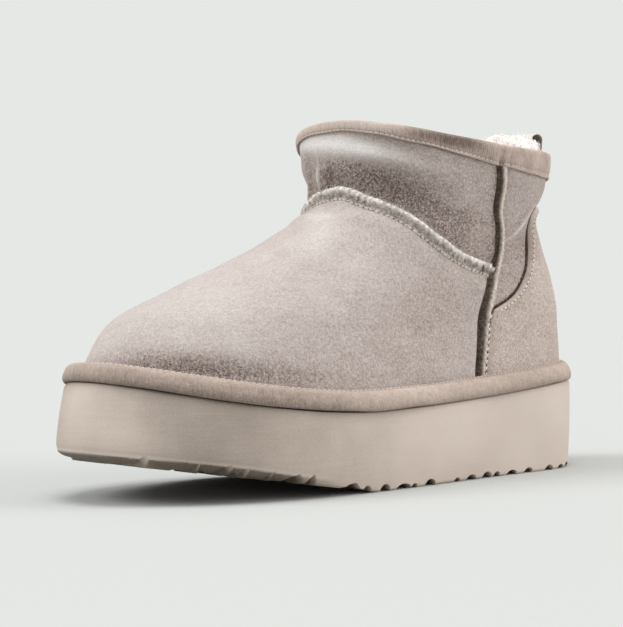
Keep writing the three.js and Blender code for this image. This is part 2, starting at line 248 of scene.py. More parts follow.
# Soft folds and hollows: centre (degrees, t), half sizes in mm, turn in degrees, height in mm.
FOLDS = {
    "hollow over the vamp seam, outer side": ((50, 0.775), (30, 8), -24, -2.4),
    "hollow over the vamp seam, inner side": ((-44, 0.77), (28, 8), 22, -2.2),
    "roll under the collar, outer side": ((40, 0.90), (28, 4.5), -8, 1.2),
    "roll under the collar, inner side": ((-42, 0.89), (26, 5), 8, 1.2),
    "roll under the collar, in front": ((6, 0.93), (34, 4.0), -8, 2.2),
    "upright fold in front": ((-1, 0.84), (0.9, 7), 0, 1.8),
    "valley behind the upright fold": ((6, 0.835), (4.5, 7), 0, -1.7),
    "valley before the upright fold": ((-11, 0.84), (6, 10), 0, -1.4),
    "dent in the collar": ((66, 0.985), (14, 4), 0, -4.2),
    "hollow over the welt, outer side": ((40, 0.10), (24, 6), 0, -1.8),
    "hollow over the welt, inner side": ((-52, 0.08), (22, 5), 0, -1.4),
    "slanting roll of the rear quarter": ((123, 0.702), (24, 2.4), 50, 2.3),
    "hollow under the slanting roll": ((129, 0.62), (22, 6), 50, -1.5),
    "slanting roll, inner side": ((-128, 0.76), (24, 5), -40, 1.4),
    "instep crease, upper": ((8, 0.68), (20, 2.6), -6, -0.7),
    "instep crease, lower": ((14, 0.615), (22, 3.0), -12, -0.6),
    "instep roll": ((10, 0.645), (22, 3.4), -9, 0.7),
    "ball crease, outer side": ((52, 0.40), (26, 5), -30, -0.6),
    "ball crease, inner side": ((-56, 0.38), (26, 5), 30, -0.8),
}
# Painted shade and highlight on the suede: painted shade (strength below nought) in the hollows over the vamp seam
# and the welt, beside the upright fold, on the shaft, the rear quarter and the vamp before the side seam; painted
# highlight on the upright fold, the roll under the collar and the ridge of the rear quarter; lighter patches on the
# toe and the instep. Centre, half sizes and turn as above, and strength.
TONES = {
    "over the vamp seam, outer side": ((50, 0.775), (40, 8), -24, -0.35),
    "shaft, outer side": ((36, 0.85), (34, 8), -14, -0.3),
    "over the vamp seam, inner side": ((-44, 0.78), (38, 12), 22, -0.6),
    "behind the upright fold": ((6, 0.835), (6, 7), 0, -0.9),
    "before the upright fold": ((-12, 0.83), (9, 13), 0, -0.75),
    "upright fold": ((-1, 0.838), (0.8, 6), 0, 1.9),
    "under the collar in front": ((8, 0.94), (38, 5.0), -8, 2.3),
    "over the welt, outer side": ((38, 0.095), (30, 7), 0, -1.2),
    "over the welt, inner side": ((-50, 0.07), (30, 6), 0, -0.6),
    "pale patch on the instep": ((28, 0.57), (16, 6), -35, 0.4),
    "pale patch beside it": ((10, 0.66), (16, 6), -10, 0.5),
    "pale toe": ((0, 0.34), (56, 38), 0, 0.2),
    "vamp before the side seam": ((96, 0.32), (20, 34), 0, -0.35),
    "ridge of the rear quarter": ((123, 0.702), (22, 1.1), 50, 1.1),
    "rear quarter": ((130, 0.62), (20, 13), 40, -0.5),
}


def seam_distances(angle, t):
    """Millimetres above the vamp seam, and millimetres behind the side seam."""
    degrees = signed_degrees(angle)
    per_t, per_turn = stretch(angle, t)
    over_vamp = (t - vamp_seam_t(degrees)) * per_t
    behind_side = (np.abs(degrees) - side_seam_angle(t)) * (per_turn * math.pi / 180)
    return over_vamp, behind_side


def over_counter(angle, t):
    """Millimetres from the top edge of the heel counter, up the upper."""
    turn = np.mod(angle, 2 * np.pi)
    inside = np.clip(turn, math.pi - COUNTER_HALF, math.pi + COUNTER_HALF)
    per_t, per_turn = stretch(angle, t)
    slope = (counter_top(inside + 0.01) - counter_top(inside - 0.01)) / 0.02 * per_t / per_turn
    past = np.abs(turn - inside) * per_turn
    return (t - counter_top(inside)) * per_t / np.sqrt(1 + slope**2) + 3 * past


def counter_top(angle):
    from_seam = 1 - np.abs(angle - math.pi) / COUNTER_HALF
    return through(COUNTER_TOP, from_seam * (len(COUNTER_TOP) - 1))


def groove(t):
    """The open groove before the side seam: its distance from the seam, half width and depth in mm."""
    low = 1 - smooth(t, 0.47, 0.55)
    widened = 0.8 * bell(t, 0.30, 0.16) * low
    return lerp(2.9, 3.2, low) + widened, lerp(2.0, 2.3, low) + widened, lerp(1.9, 2.8, low)


def groove_share(behind_side, centre, wide):
    """1 in the groove's floor, falling off steeply at its walls."""
    return np.exp(-(np.abs((behind_side + centre) / wide) ** 3))


def relief(angle, t):
    """How far the suede stands out of the plain form, in mm."""
    angle, t = np.broadcast_arrays(np.asarray(angle, float), np.asarray(t, float))
    degrees = signed_degrees(angle)
    height = np.zeros(angle.shape)
    for at, size, turn, amount in FOLDS.values():
        height += amount * soft_spot(degrees, t, at, size, turn)
    over_vamp, behind_side = seam_distances(angle, t)
    height *= lerp(0.25, 1, smooth(np.abs(behind_side), 1, 9))  # the side seam holds the folds down
    in_front = behind_side < 0
    height += in_front * (0.6 * bell(np.abs(over_vamp), 11, 7) - 1.1 * bell(over_vamp, 0, 5.5))
    centre, wide, deep = groove(t)
    height -= deep * groove_share(behind_side, centre, wide)
    height += 0.7 * bell(behind_side, -10, 5) - 0.5 * bell(behind_side, 2.6, 1.8)
    height -= 1.6 * bell(over_counter(angle, t), 1.2, 1.3) * (behind_side > 0)
    points = upper_point(angle, t)
    height += 0.6 * noise3(points, 26, 0) + 0.32 * noise3(points, 11, 1) + 0.10 * noise3(points, 4.5, 2)
    return height * smooth(t, 0.0, 0.07) * lerp(1, 0.45, smooth(t, 0.93, 1.0))


def tone(angle, t):
    """How much lighter or darker the suede is coloured than plain, from -2.8 to 1.2: painted shade and highlight, and
    some random cloudiness.
    """
    degrees = signed_degrees(angle)
    points = upper_point(angle, t)
    value = np.zeros(np.broadcast(angle, t).shape)
    for at, size, turn, amount in TONES.values():
        value += amount * soft_spot(degrees, t, at, size, turn)
    over_vamp, behind_side = seam_distances(angle, t)
    in_front = behind_side < 0
    centre, wide, _ = groove(t)
    # Painted shade in the open groove before the side seam, and higher up a softer painted shadow spreading forward
    # from it.
    value -= 2.0 * groove_share(behind_side, centre, wide + 0.1) * (1 + 0.25 * noise3(points, 2.2, 1))
    value -= 1.3 * smooth(t, 0.5, 0.56) * bell(behind_side, -3.5, 4.5) * in_front
    # Painted shade along the vamp seam and in the hollow over it; the vamp below the seam is coloured a little
    # lighter than the rest.
    value -= 0.2 * bell(over_vamp, 0, 6) * in_front
    outer = smooth(degrees, -4, 14) * (1 - smooth(degrees, 84, 100))
    value -= (0.30 + 0.45 * outer) * bell(over_vamp, 7, 10) * (over_vamp > 0) * in_front
    value += np.where((over_vamp < 0) & in_front, 0.24, -0.05)
    # Painted shadow: a dark line along the top edge of the heel counter.
    value -= 3.6 * bell(over_counter(angle, t), 0.6, 0.95) * (behind_side > 1)
    value += 0.10 * noise3(points, 34, 2) + 0.06 * noise3(points, 13, 0) + 0.05 * noise3(points, 6, 1)
    return np.clip(value, -2.8, 1.2)


def skin(angle, t, distance=0.0):
    """The suede's surface, or a layer parallel to it."""
    angle, t = np.broadcast_arrays(np.asarray(angle, float), np.asarray(t, float))
    offset = relief(angle, t) + distance
    return upper_point(angle, t) + upper_normal(angle, t) * offset[..., None]


def bisect(angle, low, high, below):
    """Close limits under and over the t between low and high where below(point) turns from true to false."""
    low = np.full(np.shape(angle), float(low))
    high = np.full(np.shape(angle), float(high))
    for _ in range(30):
        middle = (low + high) / 2
        is_below = below(upper_point(angle, middle))
        low = np.where(is_below, middle, low)
        high = np.where(is_below, high, middle)
    return low, high


def share_at_rise(angle, rise):
    return bisect(angle, 0, 0.5, lambda p: p[..., 2] - sole_top(p[..., 0]) < rise)[0]


def share_under_collar(angle, drop):
    top = upper_point(angle, np.ones(np.shape(angle)))[..., 2]
    return bisect(angle, 0.5, 1, lambda p: top - p[..., 2] > drop)[1]


def binding_drop(angle):
    return lerp(BINDING["drop_heel"], BINDING["drop_toe"], (1 + np.cos(angle)) / 2)


SOLE_MIDDLE = 137.0
FEATHER = section(0.0)
SOLE_EDGE = grown(FEATHER, WELT["toe"], WELT["heel"], WELT["side"])

# The CAD part is centred on its own box: the last's origin in the row frame, in mm.
_cad_ring = outline(SOLE_EDGE, 2 * np.pi * np.arange(CAD_AROUND) / CAD_AROUND)
ORIGIN = np.array([
    SOLE["length"] + SOLE["toe_flare"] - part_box("outsole")[1][0] / MM,
    _cad_ring[1].max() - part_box("welt")[1][1] / MM,
    0.0,
])


def to_row(points):
    return (np.asarray(points, float) - ORIGIN) * MM


# ---------------------------------------------------------------- meshes

def grid_faces(columns, rows, wrap_columns=False, wrap_rows=False, start=0, flip=False):
    """Quads of a grid whose point (i, j) is number start + i * rows + j."""
    i = np.arange(columns if wrap_columns else columns - 1)
    j = np.arange(rows if wrap_rows else rows - 1)
    i, j = np.meshgrid(i, j, indexing="ij")
    a = i * rows + j
    b = ((i + 1) % columns) * rows + j
    c = ((i + 1) % columns) * rows + (j + 1) % rows
    d = i * rows + (j + 1) % rows
    quads = np.stack([a, b, c, d], -1).reshape(-1, 4) + start
    return quads[:, ::-1] if flip else quads


def welded(points, faces, tones):
    """Coincident points made one, and faces that shrink to nothing left out."""
    keys = np.round(np.asarray(points) / 0.002).astype(np.int64)
    _, first, inverse = np.unique(keys, axis=0, return_index=True, return_inverse=True)
    inverse = inverse.ravel()
    kept = []
    for face in faces:
        corners = [int(inverse[v]) for v in face]
        corners = [v for k, v in enumerate(corners) if v != corners[k - 1]]
        if len(set(corners)) == len(corners) > 2:
            kept.append(corners)
    return np.asarray(points)[first], kept, None if tones is None else np.asarray(tones).ravel()[first]


def piece(name, points, faces, material, replaces=(), tones=None, weld=False, flat=False):
    """A finished visual piece from points in the boot's own mm."""
    if weld:
        points, faces, tones = welded(points, faces, tones)
    mesh = bpy.data.meshes.new(name)
    mesh.from_pydata(to_row(points).tolist(), [], [list(map(int, face)) for face in faces])
    work = bmesh.new()
    work.from_mesh(mesh)
    bmesh.ops.recalc_face_normals(work, faces=work.faces)
    work.to_mesh(mesh)
    work.free()
    if tones is not None:
        layer = mesh.attributes.new("tone", "FLOAT", "POINT")
        layer.data.foreach_set("value", np.asarray(tones, np.float32).ravel())
    mesh.polygons.foreach_set("use_smooth", [not flat] * len(mesh.polygons))
    mesh.materials.append(material)
    mesh.update()
    obj = bpy.data.objects.new(name, mesh)
    bpy.context.scene.collection.objects.link(obj)
    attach(obj, "root")
    if replaces:
        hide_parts(*replaces)
    return obj


def ring_piece(name, profile_rows, material, replaces=(), tones=None):
    """A closed ring from an array of points [column, row, xyz] whose rows go round the profile."""
    columns, rows = profile_rows.shape[:2]
    faces = grid_faces(columns, rows, True, True)
    return piece(name, profile_rows.reshape(-1, 3), faces, material, replaces, tones)


def sweep(path, across, normal, profile):
    """Points and faces of a strip with closed ends. profile has rows of (across, out) in mm for each path point."""
    points = path[:, None] + across[:, None] * profile[..., :1] + normal[:, None] * profile[..., 1:]
    count = profile.shape[1]
    faces = [list(face) for face in grid_faces(len(path), count, False, True)]
    faces.append(list(range(count)))
    faces.append([(len(path) - 1) * count + k for k in reversed(range(count))])
    return points.reshape(-1, 3), faces


def capsule(sides=6, rings=5):
    """A unit stitch along X, from -1 to 1, radius 1."""
    shares = np.linspace(-1, 1, rings + 2)[1:-1]
    turns = np.arange(sides) * 2 * np.pi / sides
    points = [(-1.0, 0.0, 0.0)]
    for share in shares:
        radius = (1 - abs(share) ** 3) ** 0.5
        points += [(share, radius * math.cos(a), radius * math.sin(a)) for a in turns]
    points.append((1.0, 0.0, 0.0))
    faces = []
    for k in range(sides):
        faces.append([0, 1 + (k + 1) % sides, 1 + k])
        for r in range(rings - 1):
            a, b = 1 + r * sides + k, 1 + r * sides + (k + 1) % sides
            faces.append([a, b, b + sides, a + sides])
        tip = 1 + (rings - 1) * sides
        faces.append([tip + k, tip + (k + 1) % sides, tip + sides])
    return np.array(points), faces


STITCH_POINTS, STITCH_FACES = capsule()


def stitches(name, rows, material):
    """One mesh of many stitches. Each row is (centres, directions, normals, half length, radius)."""
    points, faces, start = [], [], 0
    for centres, directions, normals, half, radius in rows:
        directions = unit(directions)
        normals = unit(normals - (normals * directions).sum(-1, keepdims=True) * directions)
        side = np.cross(normals, directions)
        local = STITCH_POINTS * [half, radius, radius * 0.8]
        block = (centres[:, None] + directions[:, None] * local[None, :, :1]
                 + side[:, None] * local[None, :, 1:2] + normals[:, None] * local[None, :, 2:])
        points.append(block.reshape(-1, 3))
        for k in range(len(centres)):
            faces += [[start + k * len(local) + v for v in face] for face in STITCH_FACES]
        start += len(centres) * len(local)
    return piece(name, np.concatenate(points), faces, material)


def run_length(points, axis=0):
    """The length along a line of points, or along one axis of a grid of them, from 0."""
    steps = np.linalg.norm(np.diff(points, axis=axis), axis=-1)
    return np.insert(np.cumsum(steps, axis), 0, 0, axis)


def evenly(points, pitch, closed=False):
    """Fractional indices of a line of points at every pitch mm, with the count rounded to fit."""
    length = run_length(points)
    count = max(int(round(length[-1] / pitch)), 2)
    marks = np.arange(count) * length[-1] / count if closed else np.linspace(0, length[-1], count + 1)
    return np.interp(marks, length, np.arange(len(points)))


def along_index(values, at):
    """Values read at fractional indices."""
    values = np.asarray(values, float)
    at = np.clip(at, 0, len(values) - 1)
    i = np.minimum(np.floor(at).astype(int), len(values) - 2)
    f = (at - i)[:, None] if values.ndim > 1 else at - i
    return values[i] * (1 - f) + values[i + 1] * f


def surface_frame(angle, t, distance=0.0, closed=False):
    """Points on the suede along a path, its direction, the direction across it, and the normal."""
    points = skin(angle, t, distance)
    normal = upper_normal(angle, t)
    if closed:
        direction = unit(np.roll(points, -1, 0) - np.roll(points, 1, 0))
    else:
        direction = unit(np.gradient(points, axis=0))
    across = unit(np.cross(normal, direction))
    return points, direction, across, normal


def stitch_row(line, at, half, radius, out=0.0, aside=0.0, slant=0.0):
    """A row for stitches() at fractional indices of (points, direction, sideways, normal), in mm."""
    points, direction, sideways, normal = (along_index(values, at) for values in line)
    return points + sideways * aside + normal * out, direction + slant * sideways, normal, half, radius


def between(at):
    return at[:-1] + np.diff(at) / 2


def shell_faces(columns, rows):
    """Faces of a closed shell: an outer grid, an inner grid of the same size after it, and the rim between."""
    count = columns * rows
    faces = list(grid_faces(columns, rows)) + list(grid_faces(columns, rows, start=count, flip=True))
    for i in range(columns - 1):
        a, b = i * rows, (i + 1) * rows
        faces.append([a, a + count, b + count, b])
        a, b = a + rows - 1, b + rows - 1
        faces.append([a, b, b + count, a + count])
    for j in range(rows - 1):
        faces.append([j, j + 1, j + 1 + count, j + count])
        a = (columns - 1) * rows + j
        faces.append([a, a + count, a + 1 + count, a + 1])
    return faces


# ---------------------------------------------------------------- materials

def srgb(hex_colour):
    channels = [int(hex_colour[k:k + 2], 16) / 255 for k in (0, 2, 4)]
    return [c / 12.92 if c <= 0.04045 else ((c + 0.055) / 1.055) ** 2.4 for c in channels] + [1.0]


class Nodes:
    """A short way to write a material's node tree."""

    def __init__(self, name):
        self.material = bpy.data.materials.new(name)
        self.material.use_nodes = True
        self.tree = self.material.node_tree
        self.shader = self.tree.nodes["Principled BSDF"]
        self.coords = self.tree.nodes.new("ShaderNodeTexCoord").outputs["Object"]

    def node(self, kind, **inputs):
        made = self.tree.nodes.new(kind)
        for key, value in inputs.items():
            key = key.replace("_", " ")
            target = made.inputs[int(key[1:])] if key[0] == "i" and key[1:].isdigit() else made.inputs[key]
            self.put(target, value)
        return made

    def put(self, target, value):
        if isinstance(value, bpy.types.NodeSocket):
            self.tree.links.new(value, target)
        else:
            target.default_value = value

    def noise(self, scale, detail=3.0, rough=0.55, stretch=None, coords=None):
        coords = coords or self.coords
        if stretch:
            mapping = self.node("ShaderNodeMapping", Vector=coords, Scale=stretch)
            coords = mapping.outputs[0]
        made = self.node("ShaderNodeTexNoise", Vector=coords, Scale=scale, Detail=detail, Roughness=rough)
        return made.outputs["Fac"]

    def math(self, operation, a, b=0.0, c=None, clamp=False):
        made = self.tree.nodes.new("ShaderNodeMath")
        made.operation = operation
        made.use_clamp = clamp
        self.put(made.inputs[0], a)
        self.put(made.inputs[1], b)
        if c is not None:
            self.put(made.inputs[2], c)
        return made.outputs[0]

    def ramp(self, value, stops):
        made = self.node("ShaderNodeValToRGB", Fac=value)
        elements = made.color_ramp.elements
        while len(elements) < len(stops):
            elements.new(0.5)
        for element, (at, colour) in zip(elements, stops):
            element.position = at
            element.color = colour
        return made.outputs["Color"]

    def spread(self, noise, amount):
        """A noise about its middle, scaled."""
        return self.math("MULTIPLY", self.math("SUBTRACT", noise, 0.5), amount)

    def bump(self, height, distance, strength=1.0, normal=None):
        made = self.node("ShaderNodeBump", Height=height, Strength=strength, Distance=distance)
        if normal is not None:
            self.put(made.inputs["Normal"], normal)
        return made.outputs[0]

    def attribute(self, name):
        made = self.tree.nodes.new("ShaderNodeAttribute")
        made.attribute_name = name
        return made.outputs["Fac"]

    def finish(self, **sockets):
        for key, value in sockets.items():
            self.put(self.shader.inputs[key.replace("_", " ")], value)
        return self.material


def suede(name, dark, middle, light, grain=1.0):
    """Brushed suede: cloudy nap, fine grain, a soft sheen. The tone attribute, which carries painted shade and
    highlight, leans it darker or lighter.
    """
    n = Nodes(name)
    clouds = n.noise(42, 4, 0.6)
    streaks = n.noise(170, 3, 0.6, stretch=(0.6, 1.0, 1.5))
    nap = n.noise(800, 2, 0.7)
    fleck = n.noise(2300, 1, 0.6)
    lean = n.attribute("tone")
    lively = n.math("MINIMUM", n.math("MAXIMUM", n.math("MULTIPLY_ADD", lean, -1.0, 1.0), 0.6), 1.9)
    base = n.math("MULTIPLY_ADD", lean, 0.36, 0.5)
    base = n.math("ADD", base, n.spread(clouds, 0.1))
    base = n.math("ADD", base, n.spread(streaks, 0.2))
    hairs = n.math("ADD", n.spread(nap, 0.85 * grain), n.spread(fleck, 0.9 * grain))
    base = n.math("ADD", base, n.math("MULTIPLY", hairs, lively))
    base = n.math("MULTIPLY_ADD", base, 2 / 3, 1 / 3, clamp=True)
    # The first, darkest stop is the colour of painted shadow in the deepest gaps and grooves.
    colour = n.ramp(base, [(0.0, srgb("2B211C")), (1 / 3, srgb(dark)), (2 / 3, srgb(middle)), (1.0, srgb(light))])
    rough = n.bump(nap, 0.0009, 0.45 * grain)
    rough = n.bump(fleck, 0.00025, 0.4 * grain, rough)
    rough = n.bump(streaks, 0.0009, 0.12, rough)
    return n.finish(Base_Color=colour, Roughness=0.92, Normal=rough, Sheen_Weight=0.28, Sheen_Roughness=0.55,
                    Sheen_Tint=srgb("E6DCD4"), Specular_IOR_Level=0.18)


def tape(name, dark, middle, light, weave_share=0.42, cloud_share=0.3):
    """Brushed tape with fine crosswise ribs."""
    n = Nodes(name)
    clouds = n.noise(60, 3, 0.6)
    grain = n.noise(1500, 2, 0.7)
    weave = n.noise(900, 1, 0.5, stretch=(1.0, 1.0, 0.35))
    base = n.math("MULTIPLY_ADD", n.attribute("tone"), 0.35, 0.5)
    base = n.math("ADD", base, n.spread(clouds, cloud_share))
    base = n.math("ADD", base, n.spread(weave, weave_share))
    base = n.math("ADD", base, n.spread(grain, 0.5), clamp=True)
    colour = n.ramp(base, [(0.0, srgb(dark)), (0.5, srgb(middle)), (1.0, srgb(light))])
    rough = n.bump(weave, 0.0004, 0.5)
    rough = n.bump(grain, 0.0002, 0.5, rough)
    return n.finish(Base_Color=colour, Roughness=0.88, Normal=rough, Sheen_Weight=0.2, Sheen_Roughness=0.5,
                    Sheen_Tint=srgb("E6D6CC"), Specular_IOR_Level=0.2)


def moulded_foam(name, dark, middle, light):
    """Matte moulded foam: faint clouds, fine level brushing lines and pores."""
    n = Nodes(name)
    clouds = n.noise(26, 3, 0.55)
    lines = n.noise(420, 2, 0.6, stretch=(0.12, 0.12, 1.6))
    pores = n.noise(2600, 2, 0.6)
    base = n.math("MULTIPLY_ADD", n.attribute("tone"), 0.4, 0.5)
    base = n.math("ADD", base, n.spread(clouds, 0.3))
    base = n.math("ADD", base, n.spread(lines, 0.07))
    base = n.math("ADD", base, n.spread(pores, 0.3), clamp=True)
    colour = n.ramp(base, [(0.0, srgb(dark)), (0.5, srgb(middle)), (1.0, srgb(light))])
    roughness = n.math("MULTIPLY_ADD", clouds, 0.12, 0.58)
    rough = n.bump(pores, 0.00012, 0.5)
    rough = n.bump(lines, 0.0001, 0.12, rough)
    return n.finish(Base_Color=colour, Roughness=roughness, Normal=rough, Specular_IOR_Level=0.35)


def wool(name, dark, middle, light, bumpy=True):
    """Curly sheep's wool."""
    n = Nodes(name)
    locks = n.noise(240, 3, 0.65)
    hair = n.noise(1600, 2, 0.7)
    base = n.math("ADD", n.math("MULTIPLY", locks, 0.7), n.math("MULTIPLY", hair, 0.4))
    colour = n.ramp(base, [(0.25, srgb(dark)), (0.55, srgb(middle)), (0.85, srgb(light))])
    sockets = {"Normal": n.bump(hair, 0.0003, 0.2, n.bump(locks, 0.0006, 0.2))} if bumpy else {}
    return n.finish(Base_Color=colour, Roughness=0.95, Sheen_Weight=0.3, Sheen_Roughness=0.5,
                    Sheen_Tint=srgb(light), Specular_IOR_Level=0.1, **sockets)


def thread(name, dark, light):
    """Twisted sewing thread."""
    n = Nodes(name)
    twist = n.noise(1900, 2, 0.6)
    colour = n.ramp(twist, [(0.3, srgb(dark)), (0.7, srgb(light))])
    return n.finish(Base_Color=colour, Roughness=0.8, Normal=n.bump(twist, 0.0002, 0.6), Sheen_Weight=0.1,
                    Sheen_Roughness=0.5, Sheen_Tint=srgb("FFFFFF"), Specular_IOR_Level=0.25)


SUEDE = suede("suede", "655852", "A69A95", "CFCCCA")
SUEDE_COUNTER = suede("suede_counter", "6E5F57", "B1A39C", "E3D9D2")
SEAM_EDGE = suede("suede_seam_edge", "5A514B", "ABA29C", "F6F3F0", 0.8)
PULL_TAPE = tape("pull_loop_tape", "3E332C", "B4A9A2", "DDD6D0")
RIM = suede("suede_rim", "64544B", "BFAFA5", "EFE4DC", 0.7)
COLLAR_TAPE = tape("collar_tape", "64564E", "AA9A91", "D0C4BB")
WELT_TAPE = tape("welt_tape", "6E6057", "AE9F95", "DED2C9", weave_share=0.2, cloud_share=0.14)
FOAM = moulded_foam("sole_foam", "5A5146", "BFB2A8", "DACEC5")
WOOL = wool("wool", "DDD6CE", "EEEBE7", "F6F4F1")
WOOL_HAIR = wool("wool_hair", "E6E0D9", "F6F3EF", "FDFBF9", bumpy=False)
# Pile for the side seam grooves, coloured dark as painted shade.
SHADED_FLEECE = wool("shaded_seam_fleece", "43382F", "6E6156", "AFA397")
THREAD = thread("thread_pale", "B9B2A6", "EFEBE2")
THREAD_TONAL = thread("thread_tonal", "B8AA9F", "E8DDD4")
THREAD_RIM = thread("thread_rim", "CDBFB4", "F0E6DE")
# Dark marks of painted shade in stitch holes and between stitches.
STITCH_SHADE = thread("stitch_shade", "40362F", "5E5148")


# ---------------------------------------------------------------- the upper

def spaced_angles():
    """Angles round the upper, closer together near the side seams."""
    seams, reach = (108, 252), 11
    near = np.concatenate([np.arange(seam - reach, seam + reach, 0.4) for seam in seams])
    keep = [mark for mark in np.arange(0, 360, 1.2) if min(abs(mark - seam) for seam in seams) > reach]
    return np.radians(np.unique(np.round(np.concatenate([keep, near]), 4)))


def build_upper():
    angles = spaced_angles()
    rows = np.linspace(0, 1, 150)
    angle, t = np.meshgrid(angles, rows, indexing="ij")
    outer = skin(angle, t)
    outer[:, 0, 2] = sole_top(outer[:, 0, 0]) + GAP
    inner_rows = np.linspace(1, 0, 18)
    angle_in, t_in = np.meshgrid(angles, inner_rows, indexing="ij")
    inner = skin(angle_in, t_in, -SUEDE_THICKNESS)
    inner[:, -1, 2] = sole_top(inner[:, -1, 0]) + GAP
    rim = (outer[:, -1:] + inner[:, :1]) / 2 + [0, 0, 0.25]
    profile = np.concatenate([outer, rim, inner], 1)
    tones = np.concatenate([tone(angle, t), np.zeros((len(angles), 1 + len(inner_rows)))], 1)
    return ring_piece("suede_upper", profile, SUEDE, ["upper"], tones)


def wool_puff(degrees):
    """How far the wool swells over the collar: nothing in front, most under the pull loop."""
    return 8.2 * smooth(degrees, 80, 98) + 4.0 * smooth(degrees, 150, 168) + 2.6 * smooth(degrees, 166, 177)


def build_wool_lining():
    angles = np.radians(np.arange(0, 360, 1.5))
    shoulder = share_under_collar(angles, binding_drop(angles) + 1.5)
    top = share_under_collar(angles, 2.5)

    def layer(shares, distance, curl=0.0):
        angle = np.broadcast_to(angles[:, None], shares.shape)
        points = upper_point(angle, shares) + upper_normal(angle, shares) * distance
        if curl:
            rough = noise3(points, 4.2, 0) + 0.6 * noise3(points, 2.3, 1)
            points += upper_normal(angle, shares) * (curl * rough)[..., None]
        return points

    behind = layer(lerp(0, shoulder[:, None], np.linspace(0, 1, 24)[None]), -5.2)
    step = lerp(shoulder[:, None], top[:, None], np.linspace(0.08, 1, 5)[None])
    back_leg = layer(step, -3.9)
    puff = wool_puff(np.abs(signed_degrees(angles)))
    crest = []
    for distance, share in ((-4.3, 0.62), (-5.4, 0.93), (-6.9, 1.0), (-8.4, 0.75)):
        row = layer(top[:, None], distance, 0.7)
        crest.append(row + np.stack([0 * puff, 0 * puff, 1.2 + puff * share], -1)[:, None])
    crest = np.concatenate(crest, 1)
    front = lerp(top[:, None], 0, np.linspace(0, 1, 96)[None] ** 1.05)
    front = layer(front, WOOL_FACE, 0.7)
    behind[:, 0, 2] = sole_top(behind[:, 0, 0]) + GAP
    front[:, -1, 2] = sole_top(front[:, -1, 0]) + GAP
    return ring_piece("wool_lining", np.concatenate([behind, back_leg, crest, front], 1), WOOL)


def build_footbed():
    angles = np.radians(np.arange(0, 360, 2.0))
    half = len(angles) // 2
    base = share_at_rise(angles, 5.0)
    edge = upper_point(angles, base) + upper_normal(angles, base) * -10.4
    across = np.linspace(0, 1, 49)
    left, right = edge[:half + 1], np.concatenate([edge[:1], edge[:half - 1:-1]])
    surface = left[:, None] * (1 - across)[None, :, None] + right[:, None] * across[None, :, None]
    for share in (0, half):
        surface[share] = edge[share]
    x = surface[..., 0]
    border = np.minimum(across, 1 - across)[None] * np.linalg.norm(left - right, axis=-1)[:, None]
    crown = 1 - np.exp(-border / 3)
    surface[..., 2] = sole_top(x) + 4.0 + 1.2 * crown
    curl = noise3(surface, 4.5, 1) + 0.6 * noise3(surface, 2.4, 2)
    surface[..., 2] += 1.0 * curl * crown
    under = surface.copy()
    under[..., 2] = sole_top(x) + GAP
    rows = surface.shape[1]
    count = surface.shape[0] * rows
    faces = np.concatenate([
        grid_faces(surface.shape[0], rows, flip=True),
        grid_faces(surface.shape[0], rows, start=count),
    ])
    rim = []
    for i in range(surface.shape[0] - 1):
        for j in (0, rows - 1):
            a, b = i * rows + j, (i + 1) * rows + j
            rim.append([a, b, b + count, a + count])
    points = np.concatenate([surface.reshape(-1, 3), under.reshape(-1, 3)])
    footbed = piece("wool_footbed", points, list(faces) + rim, WOOL, ["insole"], weld=True)
    return footbed


def curls(name, roots, directions, lengths, radius, seed, curl=0.9, points_each=6, turns=1.3,
          material=WOOL_HAIR, flat=True):
    """Many thin curled hairs as one mesh. Lengths, radius and curl are in mm, turns in whole turns."""
    rng = np.random.default_rng(seed)
    count = len(roots)
    directions = unit(directions)
    helper = unit(np.cross(directions, unit(rng.normal(size=(count, 3)))))
    other = np.cross(directions, helper)
    share = np.linspace(0, 1, points_each)[None, :, None]
    phase = rng.uniform(0, 2 * np.pi, (count, 1, 1)) + share * 2 * np.pi * turns
    swing = curl * share
    path = (roots[:, None] + directions[:, None] * lengths[:, None, None] * share
            + (helper[:, None] * np.cos(phase) + other[:, None] * np.sin(phase)) * swing)
    thick = radius * (1 - 0.75 * share)
    corners = []
    for k in range(3):
        a = 2 * np.pi * k / 3
        corners.append(path + (helper[:, None] * math.cos(a) + other[:, None] * math.sin(a)) * thick)
    points = np.stack(corners, 2)
    per = points_each * 3
    i, k = np.meshgrid(np.arange(points_each - 1), np.arange(3), indexing="ij")
    quads = np.stack([i * 3 + k, i * 3 + (k + 1) % 3, (i + 1) * 3 + (k + 1) % 3, (i + 1) * 3 + k], -1).reshape(-1, 4)
    all_quads = (quads[None] + (np.arange(count) * per)[:, None, None]).reshape(-1, 4)
    starts = np.arange(count) * per
    caps = [[s, s + 2, s + 1] for s in starts] + [[s + per - 3, s + per - 2, s + per - 1] for s in starts]
    return piece(name, points.reshape(-1, 3), list(all_quads) + caps, material, flat=flat)


def clumped(rng, root, lean, per_clump, apart, flatness, stray):
    """Roots and directions of a few hairs round each clump's root, apart mm from it."""
    roots, leans = np.repeat(root, per_clump, 0), np.repeat(lean, per_clump, 0)
    roots = roots + rng.normal(0, apart, roots.shape) * [1, 1, flatness]
    return roots, leans + rng.normal(0, stray, leans.shape)


